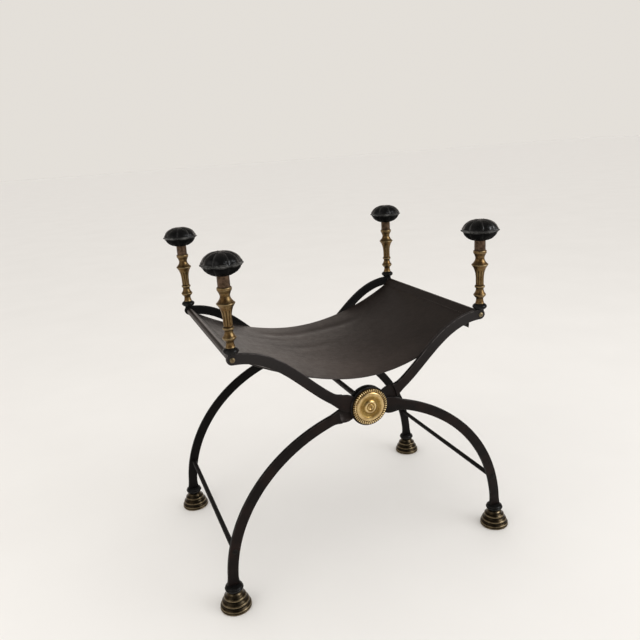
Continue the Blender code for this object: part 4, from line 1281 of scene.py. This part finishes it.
def sling_mesh(name, material):
    """The leather from flap to flap as one sheet of even thickness with rounded edges."""
    right = sling_line(True)
    line = [(-across, up) for across, up in reversed(sling_line(False)[1:])] + right
    columns = edge_columns()
    rows = len(line)
    reach = ARM_REACH - SEAM_INSET
    seat_first = len(right) - 1 - SEAT_STEPS
    seat_last = len(right) - 1 + SEAT_STEPS
    wide = len(columns)
    middle = np.zeros((rows, wide, 3))
    thick, crease, rubbed, polished = np.zeros((4, rows, wide))
    half = SLING_WIDTH / 2
    for row, (across, up) in enumerate(line):
        on_seat = seat_first <= row <= seat_last
        turned_over = abs(across) > reach + LOOP_START
        row_thick = min(1.0, math.sqrt(min(row, rows - 1 - row) / 2.0))
        for column, (deep, share) in enumerate(columns):
            rise = 0
            if on_seat:
                rise = seat_wrinkles(across, deep)
                hang = max(0, 0.25 - deep / half) ** 1.4 / 1.37
                rise -= FRONT_DROOP * hang * math.exp(-(((across - DROOP_AT) / DROOP_SPREAD) ** 2))
                # Painted shade: darker in the crease beside the left seam, which is also sunk there.
                beside_seam = (reach - SEAM_GROOVE - abs(across)) / CREASE_WIDTH
                crease[row, column] = math.exp(-beside_seam * beside_seam) if across < 0 else 0
                # Paler left of the middle and towards the front: wear and painted sheen.
                sat_on_and_lit = math.exp(-(((across + 0.05) / 0.15) ** 2))
                rubbed[row, column] = sat_on_and_lit * (0.5 + 0.5 * smooth_step(-0.05, 0.17, -deep))
            elif turned_over and across < 0:
                # Pale lines on the left loop's crest and outer side: wear and painted highlights.
                turn = math.degrees(math.atan2(up - ARM_HEIGHT, -across - ARM_REACH))
                for angle, width, wear_and_highlight in LOOP_WEAR_AND_HIGHLIGHTS:
                    polished[row, column] += wear_and_highlight * math.exp(-(((turn - angle) / width) ** 2))
            middle[row, column] = (across, deep, up + rise)
            thick[row, column] = (LOOP_LEATHER if turned_over else LEATHER) / 2 * share * row_thick
    along = np.gradient(middle, axis=0)
    beside = np.gradient(middle, axis=1)
    outward = np.cross(along, beside)
    outward /= np.linalg.norm(outward, axis=2)[:, :, None]
    top = middle + outward * (thick - CREASE_DEPTH * crease)[:, :, None]
    bottom = middle - outward * thick[:, :, None]
    count = rows * wide
    faces = []
    for row in range(rows - 1):
        for column in range(wide - 1):
            corner = row * wide + column
            upper = (corner, corner + wide, corner + wide + 1, corner + 1)
            faces.append(upper)
            faces.append(tuple(count + point for point in (upper[0], upper[3], upper[2], upper[1])))
    for row in range(rows - 1):
        for column in (0, wide - 1):
            corner = row * wide + column
            faces.append((corner, corner + wide, count + corner + wide, count + corner))
    for column in range(wide - 1):
        for row in (0, rows - 1):
            corner = row * wide + column
            faces.append((corner, corner + 1, count + corner + 1, count + corner))
    points = np.concatenate([top.reshape(-1, 3), bottom.reshape(-1, 3)])
    marks = {"crease": crease, "rubbed": rubbed, "polished": polished}
    marks = {label: np.concatenate([values.ravel(), np.zeros(count)]) for label, values in marks.items()}
    length = float(np.linalg.norm(np.diff(middle[:, wide // 2], axis=0), axis=1).sum())
    return make_mesh(name, points, faces, material, marks), length


add_camera()

iron = iron_finish(
    "forged_black_iron", (0.0056, 0.0040, 0.0036), (0.0135, 0.0074, 0.0058), (0.125, 0.110, 0.107), 0.40, 0.56
)
# A darker copy of the iron, painted shade: rear bars, narrow sides under the seat, stretchers, rivets,
# bosses.
shaded_iron = iron_finish(
    "sooty_black_iron", (0.0026, 0.0022, 0.0020), (0.0060, 0.0044, 0.0038), (0.030, 0.027, 0.026), 0.48, 0.62
)
gloss_iron = iron_finish(
    "glossy_black_iron", (0.0034, 0.0033, 0.0033), (0.0058, 0.0054, 0.0051), (0.026, 0.025, 0.024), 0.18, 0.32
)
post_brass = brass_finish(
    "aged_post_brass", (0.024, 0.016, 0.008), (0.192, 0.127, 0.055), (0.255, 0.188, 0.098), 0.34, 0.50,
    (0.116, 0.075, 0.050),
)
screw_brass = brass_finish(
    "dull_screw_brass", (0.030, 0.024, 0.013), (0.160, 0.126, 0.072), (0.26, 0.215, 0.130), 0.42, 0.56
)
medallion_brass = brass_finish(
    "polished_medallion_brass", (0.062, 0.036, 0.009), (0.44, 0.300, 0.098), (0.74, 0.57, 0.31), 0.27, 0.39
)
foot_brass = brass_finish(
    "darkened_foot_brass", (0.011, 0.0090, 0.0058), (0.044, 0.035, 0.022), (0.215, 0.166, 0.098), 0.25, 0.38
)
knob_leather = knob_leather_finish("glossy_black_leather", 0.14, 0.24, 0.38)
under_leather = knob_leather_finish("dull_black_leather", 0.015, 0.45, 0.60)
seat_leather = seat_leather_finish("worn_seat_leather", 0.30)
loop_leather = seat_leather_finish("dull_loop_leather", 0.10)
end_leather = seat_leather_finish("right_end_leather", 0.20)
thread = thread_finish()
steel = steel_finish()
wood = wood_finish()

outer_face = BAR_OUTER + GAP
stretcher_spot = stretcher_place()
rod_half = BAR_INNER - GAP
rope, rope_inputs = rope_tree()
stitches, stitch_inputs = stitch_tree()
fasteners, fastener_inputs = fastener_tree()
screw_head = show("screw_head", head_mesh("screw_head", SCREW_HEAD, SCREW_HEAD_HEIGHT, screw_brass))
# Rivet heads in the darker iron, painted shade.
rivet_head = show("rivet_head", head_mesh("rivet_head", RIVET_HEAD, RIVET_HEAD_HEIGHT, shaded_iron))

gore = stuffed_gore()
collar_profile = [(0, COLLAR_HEIGHT)] + ball_side(COLLAR, COLLAR_NECK, 0, COLLAR_HEIGHT, 30) + [(0, 0)]
knop_profile = [(0, KNOP_NECK_HEIGHT + KNOP_BALL_HEIGHT)]
for across, up in ball_side(KNOP, KNOP_TOP, KNOP_NECK_HEIGHT, KNOP_BALL_HEIGHT, 60):
    off = (up - KNOP_NECK_HEIGHT - KNOP_LIP * KNOP_BALL_HEIGHT) / KNOP_CREASE_WIDTH
    knop_profile.append((across - KNOP_CREASE * math.exp(-off * off), up))
knop_profile += [(KNOP_NECK, TURNED_EDGE), (KNOP_NECK - TURNED_EDGE, 0), (0, 0)]
foot_profile = finely(member_profile(FOOT_HEIGHT, FOOT_TOP_RADIUS, FOOT_STEPS), 0.002)

# Bars, rods and what stands on them
for side, side_name in SIDES:
    body = side_name + "_frame"
    arm = side * ARM_REACH
    leg = -side * stretcher_spot.x
    foot = -side * FOOT_REACH
    leg_name = "right" if side == LEFT else "left"
    node = side_name + "_seat_rod"
    mesh = rod_mesh(node, SEAT_ROD, rod_half, (arm, 0, ARM_HEIGHT), iron)
    dress(node + "_drawn", mesh, body, "wrought_iron", node)
    node = leg_name + "_stretcher"
    # Stretcher in the darker iron, painted shade.
    mesh = rod_mesh(node, STRETCHER, rod_half, (leg, 0, stretcher_spot.y), shaded_iron)
    dress(node + "_drawn", mesh, body, "wrought_iron", node)
    for face, face_name in FACES:
        middle = face * BAR_MIDDLE
        node = f"{side_name}_frame_{face_name}_bar"
        # Rear bars, and all narrow sides below the seat, in the darker iron, painted shade.
        mesh = bar_mesh(node, side, face, iron if face == FRONT else shaded_iron, shaded_iron)
        dress(node + "_forged", mesh, body, "wrought_iron", node)
        corner = f"{face_name}_{side_name}"
        mesh = turned(corner, collar_profile, (arm, middle, COLLAR_BOTTOM), gloss_iron)
        dress(corner + "_collar_turned", mesh, body, "wrought_iron", corner + "_collar")
        mesh = post_mesh(corner, (arm, middle, POST_BOTTOM), post_brass)
        dress(corner + "_post_turned", mesh, body, "aged_brass", corner + "_post")
        spin = math.radians(22.7 + 9 * face + 5 * side)
        seed = 4.0 + face + 2.5 * side
        mesh = knob_mesh(corner, (arm, middle, KNOB_BOTTOM), spin, seed, gore, knob_leather, under_leather)
        knob = dress(corner + "_knob_stuffed", mesh, body, "black_leather", corner + "_knob", sharp=70)
        corner = f"{face_name}_{leg_name}"
        mesh = turned(corner, knop_profile, (foot, middle, KNOP_BOTTOM), gloss_iron)
        dress(corner + "_knop_turned", mesh, body, "wrought_iron", corner + "_knop")
        mesh = turned(corner, foot_profile, (foot, middle, 0), foot_brass, 80)
        dress(corner + "_foot_turned", mesh, body, "dark_brass", corner + "_foot")
    fastenings = (
        (f"{side_name}_seat_screw", screw_head, screw_brass, "aged_brass", arm, ARM_HEIGHT),
        (f"{leg_name}_rivet", rivet_head, shaded_iron, "wrought_iron", leg, stretcher_spot.y),
    )
    for name, head, finish, slot, across, up in fastenings:
        base = bpy.data.meshes.new(name + "_places")
        base.from_pydata([(across, face * outer_face, up) for face, face_name in FACES], [], [])
        values = {"Head": head, "Finish": finish}
        mesh = grown(name, fasteners, fastener_inputs, values, base)
        dress(name + "_heads", mesh, body, slot, *(f"{face_name}_{name}" for face, face_name in FACES))

# Crossings
for face, face_name in FACES:
    node = face_name + "_boss"
    place = (0, face * outer_face, HUB_HEIGHT)
    # Boss in the darker iron, painted shade.
    mesh = turned(node, disc_profile(BOSS, BOSS_THICKNESS), place, shaded_iron, 96, face)
    dress(node + "_turned", mesh, "left_frame", "wrought_iron", node)
    node = face_name + "_hub_disc"
    profile = disc_profile(HUB_DISC, HUB_DISC_THICKNESS, bore=AXLE + GAP)
    place = (0, face * (BAR_INNER - GAP - HUB_DISC_THICKNESS), HUB_HEIGHT)
    mesh = turned(node, profile + profile[:1], place, gloss_iron, 96, face)
    dress(node + "_turned", mesh, "left_frame", "wrought_iron", node)
    node = face_name + "_medallion"
    back = face * (outer_face + BOSS_THICKNESS + GAP)
    place = (0, back, HUB_HEIGHT)
    plate = turned(node, finely(medallion_profile(), 0.0012), place, medallion_brass, 120, face, 0.0030)
    values = {
        "Ring radius": MEDALLION - ROPE_WIDTH / 2,
        "Beads": ROPE_BEADS,
        "Bead length": ROPE_BEAD_LENGTH,
        "Bead width": ROPE_BEAD_WIDTH,
        "Bead height": ROPE_BEAD_HEIGHT,
        "Slant": ROPE_SLANT,
        "Finish": medallion_brass,
    }
    beads = grown(node + "_rope", rope, rope_inputs, values)
    beads.transform(Matrix.Translation((0, 0, ROPE_HEIGHT)))
    beads.transform(Matrix.Rotation(-face * math.pi / 2, 4, "X"))
    beads.transform(Matrix.Translation(place))
    # Bead crests paler, rubbed brass and a painted highlight; their sides darker.
    rubbed = beads.attributes.new("relief", "FLOAT", "POINT")
    for vertex, height in zip(beads.vertices, rubbed.data):
        above = abs(vertex.co.y - back) - ROPE_HEIGHT
        height.value = min(1, max(-1, above / ROPE_RUBBED_AND_LIT - 1))
    for vertex, height in zip(plate.vertices, plate.attributes["relief"].data):
        out = math.hypot(vertex.co.x, vertex.co.z - HUB_HEIGHT)
        if out > ROPE_SEAT:
            height.value = -1 if out > ROPE_SEAT + CHANNEL_SIDE else -0.45
    whole = joined(node, [plate, beads], medallion_brass)
    dress(node + "_chased", whole, "left_frame", "bright_brass", node, sharp=50)

mesh = rod_mesh("pivot_axle", AXLE, outer_face + AXLE_SOCKET, (0, 0, HUB_HEIGHT), iron)
dress("pivot_axle_drawn", mesh, "left_frame", "wrought_iron", "pivot_axle")

# Leather seat and its seams
mesh, leather_length = sling_mesh("leather_seat", seat_leather)
mesh.materials.append(loop_leather)
mesh.materials.append(end_leather)
seam, square = seam_place()
for polygon in mesh.polygons:
    across, deep, up = polygon.center
    outside = across < -ARM_REACH - LOOP_CREST
    flap = across > seam.x - FLAP_BEHIND and up < seam.y - FLAP_BELOW
    right_end = across > seam.x - RIGHT_END
    polygon.material_index = 1 if outside or flap else 2 if right_end else 0
seat = show("leather_seat", mesh, 60)
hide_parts("leather_sling")
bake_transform(seat)

for side, side_name in SIDES:
    row = seam + square * (LEATHER / 2 + THREAD * 0.15) + STITCH_ROW
    row_half = SLING_WIDTH / 2 - STITCH_MARGIN
    under = -square * (2 * LEATHER + THREAD * 0.3)
    values = {
        "Row start": (side * row.x, -row_half, row.y),
        "Row end": (side * row.x, row_half, row.y),
        "Under row": (side * under.x, 0, under.y),
        "Stitches": STITCHES,
        "Length": STITCH_LENGTH,
        "Thread": THREAD,
        "Lean": STITCH_LEAN,
        "Seed": 3 + side,
        "Finish": thread,
    }
    piece = show(side_name + "_seam_stitches", grown("stitches", stitches, stitch_inputs, values))
    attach(piece, side_name + "_frame")

# Studs and cores inside keep their solids
for name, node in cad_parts.items():
    if name.endswith("_stud"):
        node.material_slots[0].material = steel
    elif name.endswith("_knob_core"):
        node.material_slots[0].material = wood

drop(screw_head)
drop(rivet_head)

add_floor()
add_studio()
